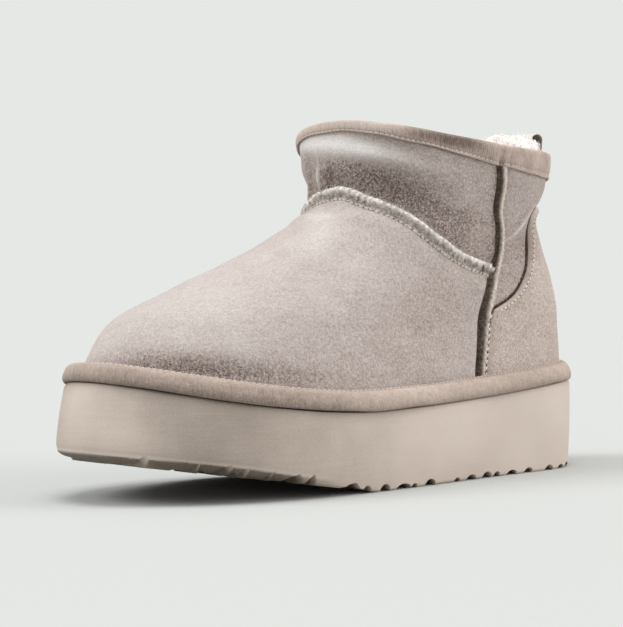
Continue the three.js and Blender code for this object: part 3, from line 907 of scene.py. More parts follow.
def build_wool_curls():
    rng = np.random.default_rng(5)
    clumps, per_clump = 1800, 3
    angle = rng.uniform(0, 2 * np.pi, clumps)
    drop = rng.uniform(1.0, 34, clumps)
    back = smooth(np.abs(signed_degrees(angle)), 95, 150)
    t = share_under_collar(angle, drop)
    near_rim = np.exp(-drop / 7)
    distance = -rng.uniform(5.0, 9.5, clumps)
    distance = np.where(drop > 12, -rng.uniform(8.6, 9.6, clumps), distance)
    root = upper_point(angle, t) + upper_normal(angle, t) * distance[:, None]
    inwards = -upper_normal(angle, t)
    lean = inwards * (0.9 - 0.55 * near_rim[:, None]) + np.array([0, 0, 1.0]) * (0.35 + 1.0 * near_rim[:, None])
    roots, directions = clumped(rng, root, lean, per_clump, 1.2, 0.7, 0.28)
    length = (3.6 + 2.4 * back * near_rim)[:, None] * rng.uniform(0.75, 1.2, (clumps, per_clump))
    curls("wool_curls", roots, directions, length.ravel(), 0.4, 6, points_each=4, turns=0.9)

    clumps, per_clump = 620, 3
    angle = math.pi + rng.uniform(-1.62, 1.62, clumps)
    t = share_under_collar(angle, rng.uniform(0.0, 3.0, clumps))
    distance = -rng.uniform(4.4, 9.2, clumps)
    puff = wool_puff(np.abs(signed_degrees(angle)))
    root = upper_point(angle, t) + upper_normal(angle, t) * distance[:, None]
    crest = np.interp(distance, (-9.2, -8.4, -6.9, -5.4, -4.4), (0.4, 0.75, 1.0, 0.9, 0.6))
    root[:, 2] += puff * crest * rng.uniform(0.7, 1.0, clumps)
    lean = -upper_normal(angle, t) * 0.3 + np.array([0, 0, 0.8])
    roots, directions = clumped(rng, root, lean, per_clump, 0.8, 0.6, 0.45)
    length = rng.uniform(1.2, 2.6, clumps * per_clump)
    curls("wool_tuft_back", roots, directions, length, 0.26, 9, curl=0.7, points_each=5, turns=1.1)


# ---------------------------------------------------------------- seams

def side_seam_path(side, low=0.055, high=0.935, count=260):
    t = np.linspace(low, high, count)
    return np.radians(side * side_seam_angle(t)) % (2 * np.pi), t


def build_side_seam(name, side):
    """A thin raised rim with painted shade on its face towards the groove and a lighter crest. Returns the pale
    stitches and dark marks of painted shade in the holes over it.
    """
    angle, t = side_seam_path(side)
    points, direction, across, normal = surface_frame(angle, t)
    behind = -across * side  # towards the heel
    low = 1 - smooth(t, 0.30, 0.36)
    bulge = 1 + 0.10 * np.sin(np.arange(len(t)) * 0.55) + 0.08 * np.sin(np.arange(len(t)) * 1.7)
    profile = np.array([
        (-1.1, -2.6), (-1.15, -0.6), (-1.1, 0.5), (-0.85, 1.1), (-0.35, 1.4), (0.15, 1.35), (0.6, 1.0), (1.0, 0.6),
        (1.5, 0.3), (2.0, 0.0), (2.0, -2.0),
    ])
    shapes = np.repeat(profile[None], len(t), 0)
    shapes[:, 2:-1, 1] *= bulge[:, None]
    shapes[:, 3:8, 0] += (0.25 * low + 0.15 * np.sin(np.arange(len(t)) * 0.83))[:, None]
    # Painted shade on the face towards the groove; the crest is lighter, partly its pale cut edge and partly painted
    # highlight, and less light on the lower part.
    tones = np.tile([-1.2, -1.0, -0.1, 0.75, 0.9, 0.7, 0.35, 0.1, 0.0, 0.0, -0.2], (len(t), 1))
    tones[:, 2:8] -= 0.35 * low[:, None]
    mesh_points, faces = sweep(points, behind, normal, shapes)
    if side > 0:
        faces = [face[::-1] for face in faces]
    piece(name, mesh_points, faces, RIM, tones=tones)
    line = points, direction, behind, normal
    stop = len(t) * 0.31  # bold stitches below, fine ones above
    bold = evenly(points[:int(stop)], 3.3)[1:-1]
    fine = evenly(points[int(stop):], 2.4)[1:-1] + stop
    rows = [stitch_row(line, bold, 1.35, 0.42, 1.55, 0.55, 0.55), stitch_row(line, fine, 0.75, 0.22, 1.1, 0.85)]
    return rows, stitch_row(line, between(bold), 0.8, 0.5, 1.25, 0.75)


def build_groove_fleece():
    """Short pile showing in the open grooves before the side seams, coloured dark as painted shade of the groove."""
    rng = np.random.default_rng(21)
    roots, leans = [], []
    for side in (1, -1):
        angle, t = side_seam_path(side, 0.05, 0.95)
        _, _, across, normal = surface_frame(angle, t)
        behind = -across * side
        at = rng.uniform(0, len(t) - 1.01, 2200)
        centre, wide, deep = groove(along_index(t, at))
        offset = rng.uniform(-1.25, 0.95, len(at)) * wide
        place = upper_point(along_index(np.unwrap(angle), at), along_index(t, at))
        out = along_index(normal, at)
        back = along_index(behind, at)
        place = place + back * (offset - centre)[:, None] + out * (-deep * 0.9 - 0.4)[:, None]
        roots.append(place)
        leans.append(out + rng.normal(0, 0.5, place.shape) - back * (offset / wide * 0.5)[:, None])
    roots, leans = np.concatenate(roots), np.concatenate(leans)
    length = rng.uniform(1.6, 3.4, len(roots))
    curls("groove_fleece", roots, leans, length, 0.18, 22, curl=0.5, points_each=3, turns=0.5, material=SHADED_FLEECE,
          flat=False)


def build_seam_fuzz():
    """Loose pale nap standing along the cut edges of the seams."""
    rng = np.random.default_rng(31)
    roots, leans = [], []

    def line(points, normal, towards, count, side_shift, height):
        at = rng.uniform(0, len(points) - 1.01, count)
        out, aside = along_index(normal, at), along_index(towards, at)
        place = along_index(points, at) + aside * rng.normal(side_shift, 0.55, (count, 1)) + out * height
        roots.append(place)
        leans.append(out * 0.7 + aside * rng.normal(0, 0.8, (count, 1)) + rng.normal(0, 0.5, (count, 3)))

    angle, t = vamp_seam_path()
    points, _, across, normal = surface_frame(angle, t)
    up = across * np.sign(across[:, 2:3])
    line(points, normal, up, 2200, 2.7, 2.1)
    line(points, normal, up, 1100, -1.4, 0.9)
    for side in (1, -1):
        angle, t = side_seam_path(side)
        points, _, across, normal = surface_frame(angle, t)
        line(points, normal, -across * side, 450, -0.4, 1.15)
    roots, leans = np.concatenate(roots), np.concatenate(leans)
    length = rng.uniform(0.7, 1.5, len(roots))
    curls("seam_fuzz", roots, leans, length, 0.07, 32, curl=0.3, points_each=3, turns=0.4, material=THREAD,
          flat=False)


def vamp_seam_path(count=900):
    degrees = np.linspace(-111.3, 111.3, count)
    t = vamp_seam_t(degrees)
    return np.radians(degrees) % (2 * np.pi), t


def build_vamp_seam():
    """A corded roll over a flat band. Returns rows of pale stitches, and dark marks of painted shade in the holes
    between them and across the seam near one end.
    """
    angle, t = vamp_seam_path()
    points, direction, across, normal = surface_frame(angle, t)
    up = across * np.sign(across[:, 2:3])
    step = run_length(points)
    twist = np.sin(step * 2 * np.pi / 2.9)
    uneven = 1 + 0.08 * np.sin(step / 3.1) + 0.06 * np.sin(step / 1.3 + 1)
    profile = np.array([
        (-3.8, -1.6), (-3.75, 0.1), (-3.3, 0.8), (-2.5, 1.05), (-1.7, 0.95), (-1.0, 0.95), (-0.4, 1.2), (0.2, 1.6),
        (0.9, 2.0), (1.7, 2.35), (2.5, 2.45), (3.2, 2.0), (3.6, 0.8), (3.6, -1.6),
    ])
    shapes = np.repeat(profile[None], len(t), 0)
    shapes[:, 1:-1, 1] *= uneven[:, None]
    shapes[:, 7:12, 1] += 0.07 * twist[:, None]
    rough = np.stack([step * 0.9, step * 0.2, np.zeros(len(step))], -1)[:, None] + np.arange(9)[None, :, None] * 0.9
    shapes[:, 3:12, 1] += 0.22 * noise3(rough, 1.3, 1)
    shapes[:, 3:12, 0] += 0.16 * noise3(rough, 1.5, 2)
    mesh_points, faces = sweep(points, up, normal, shapes)
    # Lighter on the crest of the roll and darker on the band below it, partly its pale cut edge and partly painted
    # highlight and shade; painted shade at both edges against the suede.
    tones = np.tile([-1, -0.9, 0.1, -0.1, -0.55, -0.75, -0.55, -0.25, 0.2, 0.8, 1.1, 0.85, -0.6, -1], (len(t), 1))
    tones[:, 2:12] += 0.75 * noise3(mesh_points.reshape(len(t), -1, 3)[:, 2:12], 1.3, 1)
    # Painted shade and highlight following the twist of the cord.
    tones[:, 9:12] += 0.25 * twist[:, None]
    faces = [face[::-1] for face in faces]
    piece("vamp_seam", mesh_points, faces, SEAM_EDGE, tones=tones)
    line, crosswise = (points, direction, up, normal), (points, up, up, normal)
    over, low = evenly(points, 2.9)[1:-1], evenly(points, 2.5)[1:-1]
    rows = [stitch_row(line, over, 1.3, 0.24, 2.55, 1.9, 0.9), stitch_row(line, low, 0.85, 0.28, 0.98, -2.75, 0.2)]
    tack = np.array([int(len(t) * 0.967)])
    dark_rows = [stitch_row(crosswise, between(low), 0.45, 0.3, 0.85, -2.75),
                 stitch_row(crosswise, tack, 3.0, 0.45, 1.9, 0.3)]
    return rows, dark_rows


# ---------------------------------------------------------------- heel counter, patch, tapes

def rounded_shell(name, angles, low, high, rows, base, thickness, material, replaces, edge=1.2,
                  rim_highlight=0.0):
    """A thin cap laid on the suede, its rim rounded over. low and high are its t limits at each angle."""
    share = np.linspace(0, 1, rows)
    share = lerp(share, smooth(share, 0, 1), 0.55)
    t = low[:, None] + (high - low)[:, None] * share[None]
    angle = np.broadcast_to(angles[:, None], t.shape)
    middle = skin(angle, t, base)
    normal = upper_normal(angle, t)
    up, around = run_length(middle, 1), run_length(middle, 0)
    distance = np.minimum(np.minimum(up, up[:, -1:] - up), np.minimum(around, around[-1:] - around))
    inside = np.clip(distance / edge, 0, 1)
    lift = thickness * (1 - (1 - inside) ** 2) ** 0.5
    outer = middle + normal * (lift * 0.9 + thickness * 0.1)[..., None]
    inner = skin(angle, t, base - 0.6)
    # The suede's painted shade and highlight within narrow limits, and a painted highlight along the rim.
    own = np.clip(tone(angle, t - 0.03), -0.35, 0.6) + rim_highlight * bell(distance, 0, 0.9)
    tones = np.concatenate([own.ravel(), np.zeros(own.size)])
    points = np.concatenate([outer.reshape(-1, 3), inner.reshape(-1, 3)])
    return piece(name, points, shell_faces(len(angles), rows), material, replaces, tones)


def inset_from_counter_edge(angle, inset):
    """The line that runs inset mm inside the top edge of the counter."""
    t, step = counter_top(angle), 1e-3
    edge = upper_point(angle, t)
    along = unit(np.gradient(edge, axis=0))
    down = unit(np.cross(upper_normal(angle, t), along))
    down *= -np.sign(down[:, 2:3])
    per_angle = (upper_point(angle + step, t) - upper_point(angle - step, t)) / (2 * step)
    per_t = (upper_point(angle, t + step) - upper_point(angle, t - step)) / (2 * step)
    aa, bb, ab = (per_angle**2).sum(-1), (per_t**2).sum(-1), (per_angle * per_t).sum(-1)
    da, db = (down * per_angle).sum(-1) * inset, (down * per_t).sum(-1) * inset
    spare = aa * bb - ab**2
    angle, t = angle + (da * bb - db * ab) / spare, t + (db * aa - da * ab) / spare
    inside = counter_top(angle) - t > 0.002
    return angle[inside], t[inside]


def build_counter():
    half = COUNTER_HALF - math.radians(0.2)
    angles = np.linspace(math.pi - half, math.pi + half, 190)
    low = share_at_rise(angles, 5.0)
    rounded_shell("heel_counter_suede", angles, low, counter_top(angles), 84, 0.3, COUNTER["thickness"],
                  SUEDE_COUNTER, ["heel_counter"], rim_highlight=1.1)
    fine, t = inset_from_counter_edge(np.linspace(math.pi - half, math.pi + half, 900), 1.4)
    line = surface_frame(fine, t, COUNTER["thickness"] + 0.3)
    at = evenly(line[0], 2.9)[1:-1]
    # The second row is dark marks of painted shade in the holes between the stitches.
    return [stitch_row(line, at, 1.15, 0.4)], [stitch_row(line, between(at), 0.35, 0.4, -0.1)]


def build_patch():
    half_turn = 0.168  # of the heel, across the patch's half width
    angles = math.pi + np.linspace(-1, 1, 41) * half_turn
    points = upper_point(angles, share_at_rise(angles, 30.0))
    across = (points[:, 1] - points[len(points) // 2, 1]) / PATCH["half_width"]
    corner = 0.16 * (1 - np.sqrt(np.clip(1 - np.clip((np.abs(across) - 0.75) / 0.25, 0, 1) ** 2, 0, 1)))
    low = PATCH["bottom"] - SOLE["heel_top"] + PATCH["height"] * corner
    high = PATCH["bottom"] - SOLE["heel_top"] + PATCH["height"] * (1 - corner)
    low_t, high_t = share_at_rise(angles, low), share_at_rise(angles, high)
    rounded_shell("heel_patch_blank", angles, low_t, high_t, 33, COUNTER["thickness"] + 0.45,
                  PATCH["thickness"], FOAM, ["heel_patch"], edge=0.9)


def by_length(make, count, start=0.0, stop=2 * np.pi):
    """Angles that space a closed curve make(angles) evenly."""
    fine = np.linspace(start, stop, 4001)
    points = make(fine)
    length = run_length(points)
    return np.interp(np.arange(count) * length[-1] / count, length, fine)


def build_collar_binding():
    count = 1240
    angles = by_length(lambda a: upper_point(a, np.ones(a.shape)), count)
    drop = binding_drop(angles) * (1 - 0.22 * bell(signed_degrees(angles), 10, 36))
    thickness = BINDING["thickness"]
    rib = 0.13 * np.cos(np.arange(count) * 2 * np.pi / 4) * (0.7 + 0.3 * np.sin(angles * 23))
    wave = 0.2 * np.sin(angles * 9 + 1.0) + 0.15 * np.sin(angles * 17)

    def out(share, distance):
        t = share_under_collar(angles, np.maximum(drop * share + wave * share, 0.0))
        return skin(angles, t, distance)

    def over(distance, height):
        points = skin(angles, np.ones(count), distance)
        points[:, 2] += height
        return points

    inner = -WALL_EDGE - GAP
    mid = -WALL_EDGE / 2
    body = GAP + thickness
    rows = [
        out(1.0, 0.15), out(1.0, body - 0.35), out(0.985, body + 0.1), out(0.94, body + 0.3), out(0.89, body + 0.05),
        out(0.84, body - 0.1), out(0.76, body + 0.1), out(0.64, body + 0.32), out(0.5, body + 0.42),
        out(0.36, body + 0.4), out(0.22, body + 0.34), out(0.1, body + 0.2), over(body, 0.0), over(body - 0.3, 0.75),
        over(0.1, body + 0.1), over(mid, body + 0.5), over(inner + 0.4, body + 0.1), over(inner - 0.6, 0.75),
        over(inner - thickness, 0.0), out(0.4, inner - thickness), out(0.95, inner - thickness),
        out(0.95, inner), out(0.5, inner), over(inner, 0.0), over(mid, GAP), over(GAP, 0.0), out(0.5, 0.15),
    ]
    profile = np.stack(rows, 1)
    normal = upper_normal(angles, np.ones(count))
    ribbed = slice(3, 19)
    profile[:, ribbed] += normal[:, None] * rib[:, None, None]
    clouds = noise3(profile, 16, 1) * 0.5 + noise3(profile, 7, 2) * 0.4
    upper_half = np.interp(np.arange(profile.shape[1]), [0, 4, 7, 9, 18, 26], [0, 0, 0.35, 1, 1, 0])
    degrees = signed_degrees(angles)
    # Painted shade in the dent of the collar, and a painted highlight on the upper half of the tape before it.
    dent, before = bell(degrees, 67, 15), bell(degrees, 39, 8)
    tones = 0.75 * clouds + (0.3 * before - 1.2 * dent)[:, None] * upper_half[None]
    # Painted shade and highlight along the ribs.
    tones += 1.1 * rib[:, None] * (np.arange(profile.shape[1]) > 2)
    # Painted shadow on the two lowest rows, along the tape's edge against the suede.
    tones[:, :2] -= 0.7
    tones[:, 2:5] += 0.2
    tones[:, 5:7] -= 0.2
    ring_piece("collar_tape", profile, COLLAR_TAPE, ["collar_binding"], np.clip(tones, -1, 1))
    t = share_under_collar(angles, drop * 0.84 + wave * 0.84)
    line = surface_frame(angles, t, body + 0.02, closed=True)
    return [stitch_row(line, evenly(line[0], 2.5, closed=True), 0.95, 0.26)]


def build_pull_loop():
    half = LOOP["half_width"]
    back = upper_point(math.pi, 1.0)
    outer_face = 2 * GAP + BINDING["thickness"] + 0.45
    inner_face = -(WALL_EDGE + 2 * GAP + BINDING["thickness"])
    inner_top = outer_face - LOOP["hole"]
    fold = LOOP["hole"] / 2
    top = LOOP["rise"] - fold - LOOP["thickness"]
    fine = np.linspace(math.pi - 0.3, math.pi + 0.3, 2001)
    across_fine = upper_point(fine, np.ones(fine.shape))[:, 1] - back[1]
    columns = 44
    across = np.linspace(half, -half, columns)
    angles = np.interp(-across, -across_fine, fine)

    def place(distance, height):
        rise = max(height, 0.0)
        t = share_under_collar(angles, rise - height)
        points = skin(angles, t, distance)
        points[:, 0] = lerp(points[:, 0], back[0] - distance, float(smooth(rise, 0, LOOP["straight_from"])))
        points[:, 0] -= LOOP["lean"] * rise
        points[:, 2] += rise
        return points

    path = [(-LOOP["outer_leg"], outer_face), (-8, outer_face), (-4, outer_face), (0, outer_face),
            (2, outer_face), (LOOP["straight_from"], outer_face), (7, outer_face)]
    turns = np.linspace(0, math.pi, 15)
    inner = [(7, inner_top), (LOOP["straight_from"], inner_top), (2, lerp(inner_top, inner_face, 0.5)),
             (0, inner_face), (-4, inner_face), (-LOOP["inner_leg"], inner_face)]
    edge = np.minimum(half - np.abs(across), 1.0)
    hem = 0.16 * bell(half - np.abs(across), 2.2, 0.9)

    def layer(offset):
        swell = hem.mean() if offset else 0
        rows = [place(face + offset + swell, height) for height, face in path]
        for turn in turns:
            reach = fold + offset
            rows.append(place(outer_face - fold + reach * math.cos(turn), top + reach * math.sin(turn)))
        rows += [place(face - offset, height) for height, face in inner]
        return np.stack(rows, 1)

    outer, inner_side = layer(LOOP["thickness"]), layer(0.0)
    middle = (outer + inner_side) / 2
    pinch = np.sqrt(np.clip(edge, 0.12, 1))[:, None, None]
    outer = middle + (outer - middle) * pinch
    inner_side = middle + (inner_side - middle) * pinch
    rib = 0.05 * np.cos(np.arange(outer.shape[1]) * np.pi)[None, :, None]
    outer = outer + unit(outer - middle) * rib
    points = np.concatenate([outer.reshape(-1, 3), inner_side.reshape(-1, 3)])
    tones = np.clip(0.8 + noise3(points, 6, 0) * 0.4, -1, 1.2)
    # Painted shade on the inside of the loop.
    tones[len(points) // 2:] -= 1.7  # the inside of the loop is dark
    piece("pull_loop_tape", points, shell_faces(columns, outer.shape[1]), PULL_TAPE, ["pull_loop"], tones)

    rows = []
    for height in (-10.6, -2.0):
        points = place(outer_face + LOOP["thickness"] + 0.05, height)
        direction = unit(np.gradient(points, axis=0))
        line = points, direction, direction, upper_normal(angles, np.ones(columns))
        rows.append(stitch_row(line, evenly(points, 2.0)[1:-1], 0.75, 0.2))
    return rows


def build_welt():
    count = 1760
    angles = by_length(lambda a: np.stack(outline(SOLE_EDGE, a)[:2], -1), count)
    foot_x, foot_y, _ = outline(FEATHER, angles)
    edge_x, edge_y, _ = outline(SOLE_EDGE, angles)
    outward = unit(np.stack([np.gradient(edge_y), -np.gradient(edge_x)], -1))
    outward *= np.sign((outward * np.stack([edge_x - SOLE_MIDDLE, edge_y], -1)).sum(-1, keepdims=True))

    def over(share, height, out=0.0):
        x = lerp(foot_x, edge_x, share)
        y = lerp(foot_y, edge_y, share)
        z = sole_top(x) + height
        return np.stack([x + outward[:, 0] * out, y + outward[:, 1] * out, z], -1)

    def against(rise, distance=0.0):
        return skin(angles, share_at_rise(angles, rise), distance)

    height = WELT["height"]
    floor_line = against(GAP)
    floor_line[:, 2] = sole_top(floor_line[:, 0]) + GAP
    low = (0.35 + 0.45 * noise3(np.stack([edge_x, edge_y, 0 * edge_x], -1), 21, 1)[:, None]) * [0, 0, 1.0]
    rows = [
        floor_line, over(0.6, GAP), over(0.96, GAP) + low, over(1.0, 0.1, 0.25) + low, over(1.0, 0.9, 0.75) + low,
        over(1.0, 2.0, 0.95), over(1.0, 3.2, 0.9), over(1.0, 4.4, 0.6), over(1.0, 5.5, 0.05), over(0.94, 6.7),
        over(0.85, 7.7), over(0.73, 8.5), over(0.60, 9.0), over(0.47, 9.25), over(0.36, 9.3), over(0.27, 9.35),
        over(0.19, height + 0.1), over(0.13, height + 0.3), against(height + 0.1, 0.55), against(height - 0.7, -0.4),
        against(height * 0.45, -0.4),
    ]
    profile = np.stack(rows, 1)
    slanted = np.array([0, 0, 0.2, 0.7, 1, 1, 1, 1, 1, 1, 1, 1, 0.8, 0.5, 0.4, 0.8, 1.0, 1.0, 0.4, 0, 0]) * 0.07
    shift = np.arange(len(rows)) * 0.5
    pattern = np.cos(np.arange(count)[:, None] * 2 * np.pi / 4 + shift[None])
    out3 = np.concatenate([outward, np.zeros((count, 1))], 1)
    lift = np.linspace(0, 1, len(rows))[None, :, None] * np.array([0, 0, 1.0])
    profile += (out3[:, None] * 0.8 + lift * 0.6) * (pattern * slanted)[..., None]
    tones = noise3(profile, 30, 0) * 0.12 + noise3(profile, 6, 1) * 0.1 + noise3(profile, 1.6, 2) * 0.2
    tones -= 0.55 * smooth(profile[..., 0], 150, 215) * (1 - 0.3 * smooth(profile[..., 0], 240, 265))
    # Painted shade and highlight along the slanting ribs.
    tones += 0.10 * pattern * (0.55 + 0.45 * noise3(profile, 15, 2))
    # By rows: painted shade under the welt and over the lower half of its face; a little lighter along the top edge
    # and darker on the inner part of the top.
    tones += np.interp(np.arange(len(rows)), [0, 3, 4, 6, 9, 12, 13, 16, 17, 20],
                       [-1, -1, -0.6, -0.35, 0, 0.2, -0.3, -0.3, 0, 0])
    ring_piece("welt_strip", profile, WELT_TAPE, ["welt"], np.clip(tones, -1, 1))
    line = over(0.30, 9.45)
    direction = unit(np.roll(line, -1, 0) - np.roll(line, 1, 0))
    at = evenly(line, 2.6, closed=True)
    normal = np.tile([0, 0, 1.0], (len(at), 1)) + 0.4 * along_index(out3, at)
    return [(along_index(line, at), along_index(direction, at), normal, 0.95, 0.27)]


# ---------------------------------------------------------------- the platform

FIRST_GROOVE = 9.0
GROOVES = ((10.7, 3.1, 2.7), (7.1, 2.7, 2.3), (12.0, 4.1, 2.5))  # step to the next, half width, depth, in turn
CHANNELS = dict(at=(-20, 20), half_width=2.0, depth=1.9)


def tread(x, y):
    """How far the underside is hollowed at a place: cross grooves with wavy walls, and two long channels."""
    x, y = np.broadcast_arrays(np.asarray(x, float), np.asarray(y, float))
    hollow = np.zeros(x.shape)
    centre, k = FIRST_GROOVE, 0
    while centre < SOLE["length"] + 2:
        step, half, depth = GROOVES[k % 3]
        half *= 1 + 0.25 * math.sin(2.3 * k)
        wavy = x - centre - 1.5 * np.sin(y / 6.5 + 0.9 * k) * smooth(50 - np.abs(y), 0, 12)
        arch = np.sqrt(np.clip(1 - (wavy / half) ** 2, 0, 1))
        wedge = np.clip(1 - np.where(wavy < 0, -1.9, 0.62) * wavy / half, 0, 1) ** 0.8
        arch = lerp(arch, 1.8 * wedge, smooth(centre, 168, 182))  # wedges under the forefoot
        depth *= 1 + 0.18 * math.sin(1.7 * k + 1)
        hollow = np.maximum(hollow, depth * arch * (k % 7 != 4))  # now and then a lug is twice as long
        centre += step
        k += 1
    for at in CHANNELS["at"]:
        aside = (y - at - 2 * np.sin(x / 14)) / CHANNELS["half_width"]
        hollow = np.maximum(hollow, CHANNELS["depth"] * np.sqrt(np.clip(1 - aside**2, 0, 1)))
    return hollow * smooth(x, 4, 6) * (1 - smooth(x, SOLE["length"] - 10, SOLE["length"] - 3))


def build_platform():
    half = 760
    angles = by_length(lambda a: np.stack(outline(SOLE_EDGE, a)[:2], -1), half, 0, np.pi)
    angles = np.concatenate([angles, [np.pi]])
    full = np.concatenate([angles, 2 * np.pi - angles[-2:0:-1]])
    low_edge = grown(SOLE_EDGE, SOLE["toe_flare"], SOLE["heel_flare"], SOLE["side_flare"])
    x_low, y_low, _ = outline(low_edge, full)
    toe = smooth(x_low, 178, 236)
    hollow = tread(x_low, y_low)
    floor_z = sole_bottom(x_low)
    lip = 3.6 + 0.5 * np.sin(x_low / 17)  # height of the fine lip along the toe
    centre = np.stack([np.full(full.shape, SOLE_MIDDLE) + 95 * np.cos(full), np.zeros(full.shape) - 3], -1)
    columns = []
    # How far up the tread's band, and then up the rest of the wall, each row of points lies.
    heights = [0, 0.02, 0.05, 0.09, 0.14, 0.22, 0.34, 0.46, 0.56, 0.66, 0.74, 0.80, 0.88, 1.0]
    shares = [0.12, 0.2, 0.3, 0.42, 0.54, 0.66, 0.78, 0.88, 0.95, 0.98, 1.0]
    deep = sole_top(x_low) - floor_z
    band = [(hollow + (TREAD_THICKNESS - hollow) * value) / deep for value in heights]
    above_band = [lerp(TREAD_THICKNESS / deep, 1, value) for value in shares]
    for share in band + above_band:
        flares = (lerp(SOLE[flare], 0, share) for flare in ("toe_flare", "heel_flare", "side_flare"))
        x, y, _ = outline(grown(SOLE_EDGE, *flares), full)
        z = lerp(floor_z, sole_top(x), share)
        above = z - floor_z
        tuck = 0.8 * (1 - smooth(above, 0, 0.9)) + 0.8 * smooth(share, 0.95, 1)
        under = toe * (6.0 * (1 - np.clip(above / lip, 0, 1)) ** 1.5 + 0.8 * bell(above, lip, 2.2))
        inward = tuck + under - 0.5 * np.sin(math.pi * np.clip(share, 0, 1))
        direction = unit(np.stack([x, y], -1) - centre)
        place_xy = np.stack([x, y], -1) - direction * inward[:, None]
        columns.append(np.column_stack([place_xy, z]))
    wall = np.stack(columns, 1)
    rows = wall.shape[1]
    wall_faces = grid_faces(len(full), rows, True, False)
    bottom, top = wall[:, 0], wall[:, -1]

    def across(edge, steps):
        outer, inner = edge[:half + 1], np.concatenate([edge[:1], edge[:half - 1:-1]])
        f = np.linspace(0, 1, steps)
        return outer[:, None] * (1 - f)[None, :, None] + inner[:, None] * f[None, :, None]

    steps = 24
    under = across(bottom, steps)
    x, y = under[:, 1:-1, 0], under[:, 1:-1, 1]
    under[:, 1:-1, 2] = sole_bottom(x) + tread(x, y)
    lid = across(top, 8)
    start_under = len(full) * rows
    start_lid = start_under + under.shape[0] * steps
    faces = np.concatenate([
        wall_faces,
        grid_faces(under.shape[0], steps, start=start_under),
        grid_faces(lid.shape[0], 8, start=start_lid, flip=True),
    ])
    points = np.concatenate([wall.reshape(-1, 3), under.reshape(-1, 3), lid.reshape(-1, 3)])
    x, z = points[:, 0], points[:, 2]
    tones = 0.25 * noise3(points, 30, 1) + lerp(0.30, -0.35, smooth(x, 50, 190)) + 0.1 * smooth(x, 230, 275)
    level = (z - sole_bottom(x)) / (sole_top(x) - sole_bottom(x))
    # Painted shade at the top of the wall, under the welt.
    tones -= 0.45 * smooth(level, 0.86, 1.0)
    above = wall[..., 2] - floor_z[:, None]
    # At the toe, a painted highlight along the lip and painted shade on the bevel under it.
    on_wall = toe[:, None] * (0.2 * bell(above, lip[:, None] + 0.4, 0.7)
                              - 1.3 * (1 - smooth(above, lip[:, None] - 0.6, lip[:, None])))
    tones[:start_under] += on_wall.ravel()
    # Painted shade on the underside.
    tones[start_under:start_lid] -= 0.9
    return piece("platform", points, faces, FOAM, ["midsole", "outsole"], np.clip(tones, -1.2, 1),
                 weld=True)


# ---------------------------------------------------------------- everything in place

build_upper()
build_wool_lining()
build_footbed()
build_wool_curls()
build_groove_fleece()
pale, dark = [], []
for seam_name, seam_side in (("side_seam_outer", 1), ("side_seam_inner", -1)):
    seam_rows, seam_holes = build_side_seam(seam_name, seam_side)
    pale += seam_rows
    dark.append(seam_holes)
seam_rows, seam_holes = build_vamp_seam()
pale, dark = pale + seam_rows, dark + seam_holes
stitches("seam_stitches", pale, THREAD)
build_seam_fuzz()
counter_rows, counter_holes = build_counter()
stitches("counter_stitches", counter_rows, THREAD_RIM)
tonal = build_collar_binding() + build_pull_loop() + build_welt()
stitches("edge_stitches", tonal, THREAD_TONAL)
# Painted shade: dark marks in the stitch holes, between stitches and across the vamp seam's end.
stitches("stitch_shade", dark + counter_holes, STITCH_SHADE)
build_patch()
build_platform()


# ---------------------------------------------------------------- camera

# Degrees and mm. The camera stands at the distance from target and looks at a point beside it.
CAMERA = dict(azimuth=141.6, elevation=1.54, roll=-1.15, distance=649.0, target=(SOLE_MIDDLE, 0.0, 47.0),
              aim_right=-15.5, aim_up=32.6, lens=77.4318, sensor=36)


def compass(azimuth, elevation):
    """The direction at an azimuth, in degrees from -Y towards +X, and an elevation over the floor."""
    a, e = math.radians(azimuth), math.radians(elevation)
    return Vector((math.sin(a) * math.cos(e), -math.cos(a) * math.cos(e), math.sin(e)))


def place_camera():
    back = compass(CAMERA["azimuth"], CAMERA["elevation"])
    right = Vector((0, 0, 1)).cross(back).normalized()
    up = back.cross(right)
    roll = math.radians(CAMERA["roll"])
    right, up = right * math.cos(roll) + up * math.sin(roll), up * math.cos(roll) - right * math.sin(roll)
    target = Vector(CAMERA["target"])
    eye = target + back * CAMERA["distance"]
    aim = target + right * CAMERA["aim_right"] + up * CAMERA["aim_up"]
    look = (eye - aim).normalized()
    side = up.cross(look).normalized()
    top = look.cross(side)
    data = bpy.data.cameras.new("camera")
    data.sensor_width = CAMERA["sensor"]
    data.lens = CAMERA["lens"]
    data.clip_start = 0.01
    camera = bpy.data.objects.new("camera", data)
    bpy.context.scene.collection.objects.link(camera)
    matrix = Matrix((side, top, look)).transposed().to_4x4()
    matrix.translation = Vector(to_row(eye).tolist())
    camera.matrix_world = matrix
    bpy.context.scene.camera = camera


place_camera()


# ---------------------------------------------------------------- floor and light

PAPER = "E6E8E5"


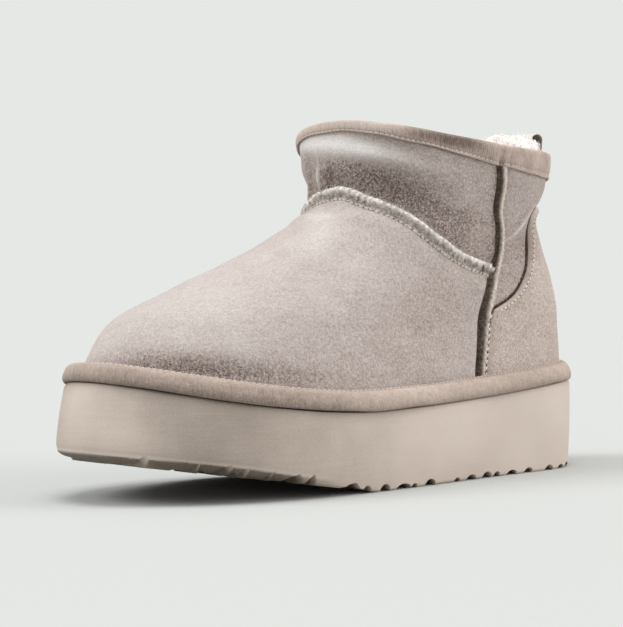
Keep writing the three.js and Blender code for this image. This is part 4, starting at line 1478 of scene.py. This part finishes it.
def build_stage(colour):
    """A plain pale floor, wide enough to meet the backdrop out of sight."""
    radii, sides, level = (0.5, 2.0, 8.0, 30.0), 96, -0.00015  # metres
    points, faces = [(0.0, 0.0, level)], []
    for radius in radii:
        turns = [2 * math.pi * k / sides for k in range(sides)]
        points += [(radius * math.cos(turn), radius * math.sin(turn), level) for turn in turns]
    for k in range(sides):
        faces.append([0, 1 + k, 1 + (k + 1) % sides])
        for ring in range(len(radii) - 1):
            a, b = 1 + ring * sides + k, 1 + ring * sides + (k + 1) % sides
            faces.append([a, a + sides, b + sides, b])
    mesh = bpy.data.meshes.new("floor")
    mesh.from_pydata(points, [], faces)
    n = Nodes("floor_paper")
    mesh.materials.append(n.finish(Base_Color=colour, Roughness=1.0, Specular_IOR_Level=0.0))
    floor = bpy.data.objects.new("floor", mesh)
    bpy.context.scene.collection.objects.link(floor)


def soft_sun(name, azimuth, elevation, share, spread, colour=(1.0, 1.0, 1.0)):
    """A distant softbox. share is the light it gives a face turned to it, as a share of white."""
    direction = compass(azimuth, elevation)
    data = bpy.data.lights.new(name, "SUN")
    data.energy = share * math.pi
    data.angle = math.radians(spread)
    data.color = colour
    light = bpy.data.objects.new(name, data)
    light.rotation_euler = (-direction).to_track_quat("-Z", "Y").to_euler()
    light.location = direction
    bpy.context.scene.collection.objects.link(light)
    return share * max(direction.z, 0) * np.array(colour)


def build_world(colour, strength):
    """Even light from all round. The camera itself sees the backdrop as the same pale paper as the floor."""
    world = bpy.data.worlds.new("studio")
    bpy.context.scene.world = world
    world.use_nodes = True
    tree = world.node_tree
    lit = tree.nodes["Background"]
    lit.inputs[0].default_value = (*colour, 1.0)
    lit.inputs[1].default_value = strength
    seen = tree.nodes.new("ShaderNodeBackground")
    seen.inputs[0].default_value = srgb(PAPER)
    path = tree.nodes.new("ShaderNodeLightPath")
    mix = tree.nodes.new("ShaderNodeMixShader")
    tree.links.new(path.outputs["Is Camera Ray"], mix.inputs[0])
    tree.links.new(lit.outputs[0], mix.inputs[1])
    tree.links.new(seen.outputs[0], mix.inputs[2])
    tree.links.new(mix.outputs[0], tree.nodes["World Output"].inputs[0])
    return np.array(colour) * strength


bpy.context.scene.view_settings.view_transform = "Standard"
on_floor = build_world((1.0, 0.96, 0.935), 0.62)
on_floor += soft_sun("key", 64, 40, 0.54, 30, (0.99, 1.0, 1.0))
on_floor += soft_sun("top", 141, 80, 0.48, 36, (0.98, 1.0, 1.0))
on_floor += soft_sun("side", 225, 18, 0.52, 40, (1.0, 0.98, 0.96))
build_stage([*(np.array(srgb(PAPER)[:3]) / on_floor).tolist(), 1.0])  # looks like the paper under this light
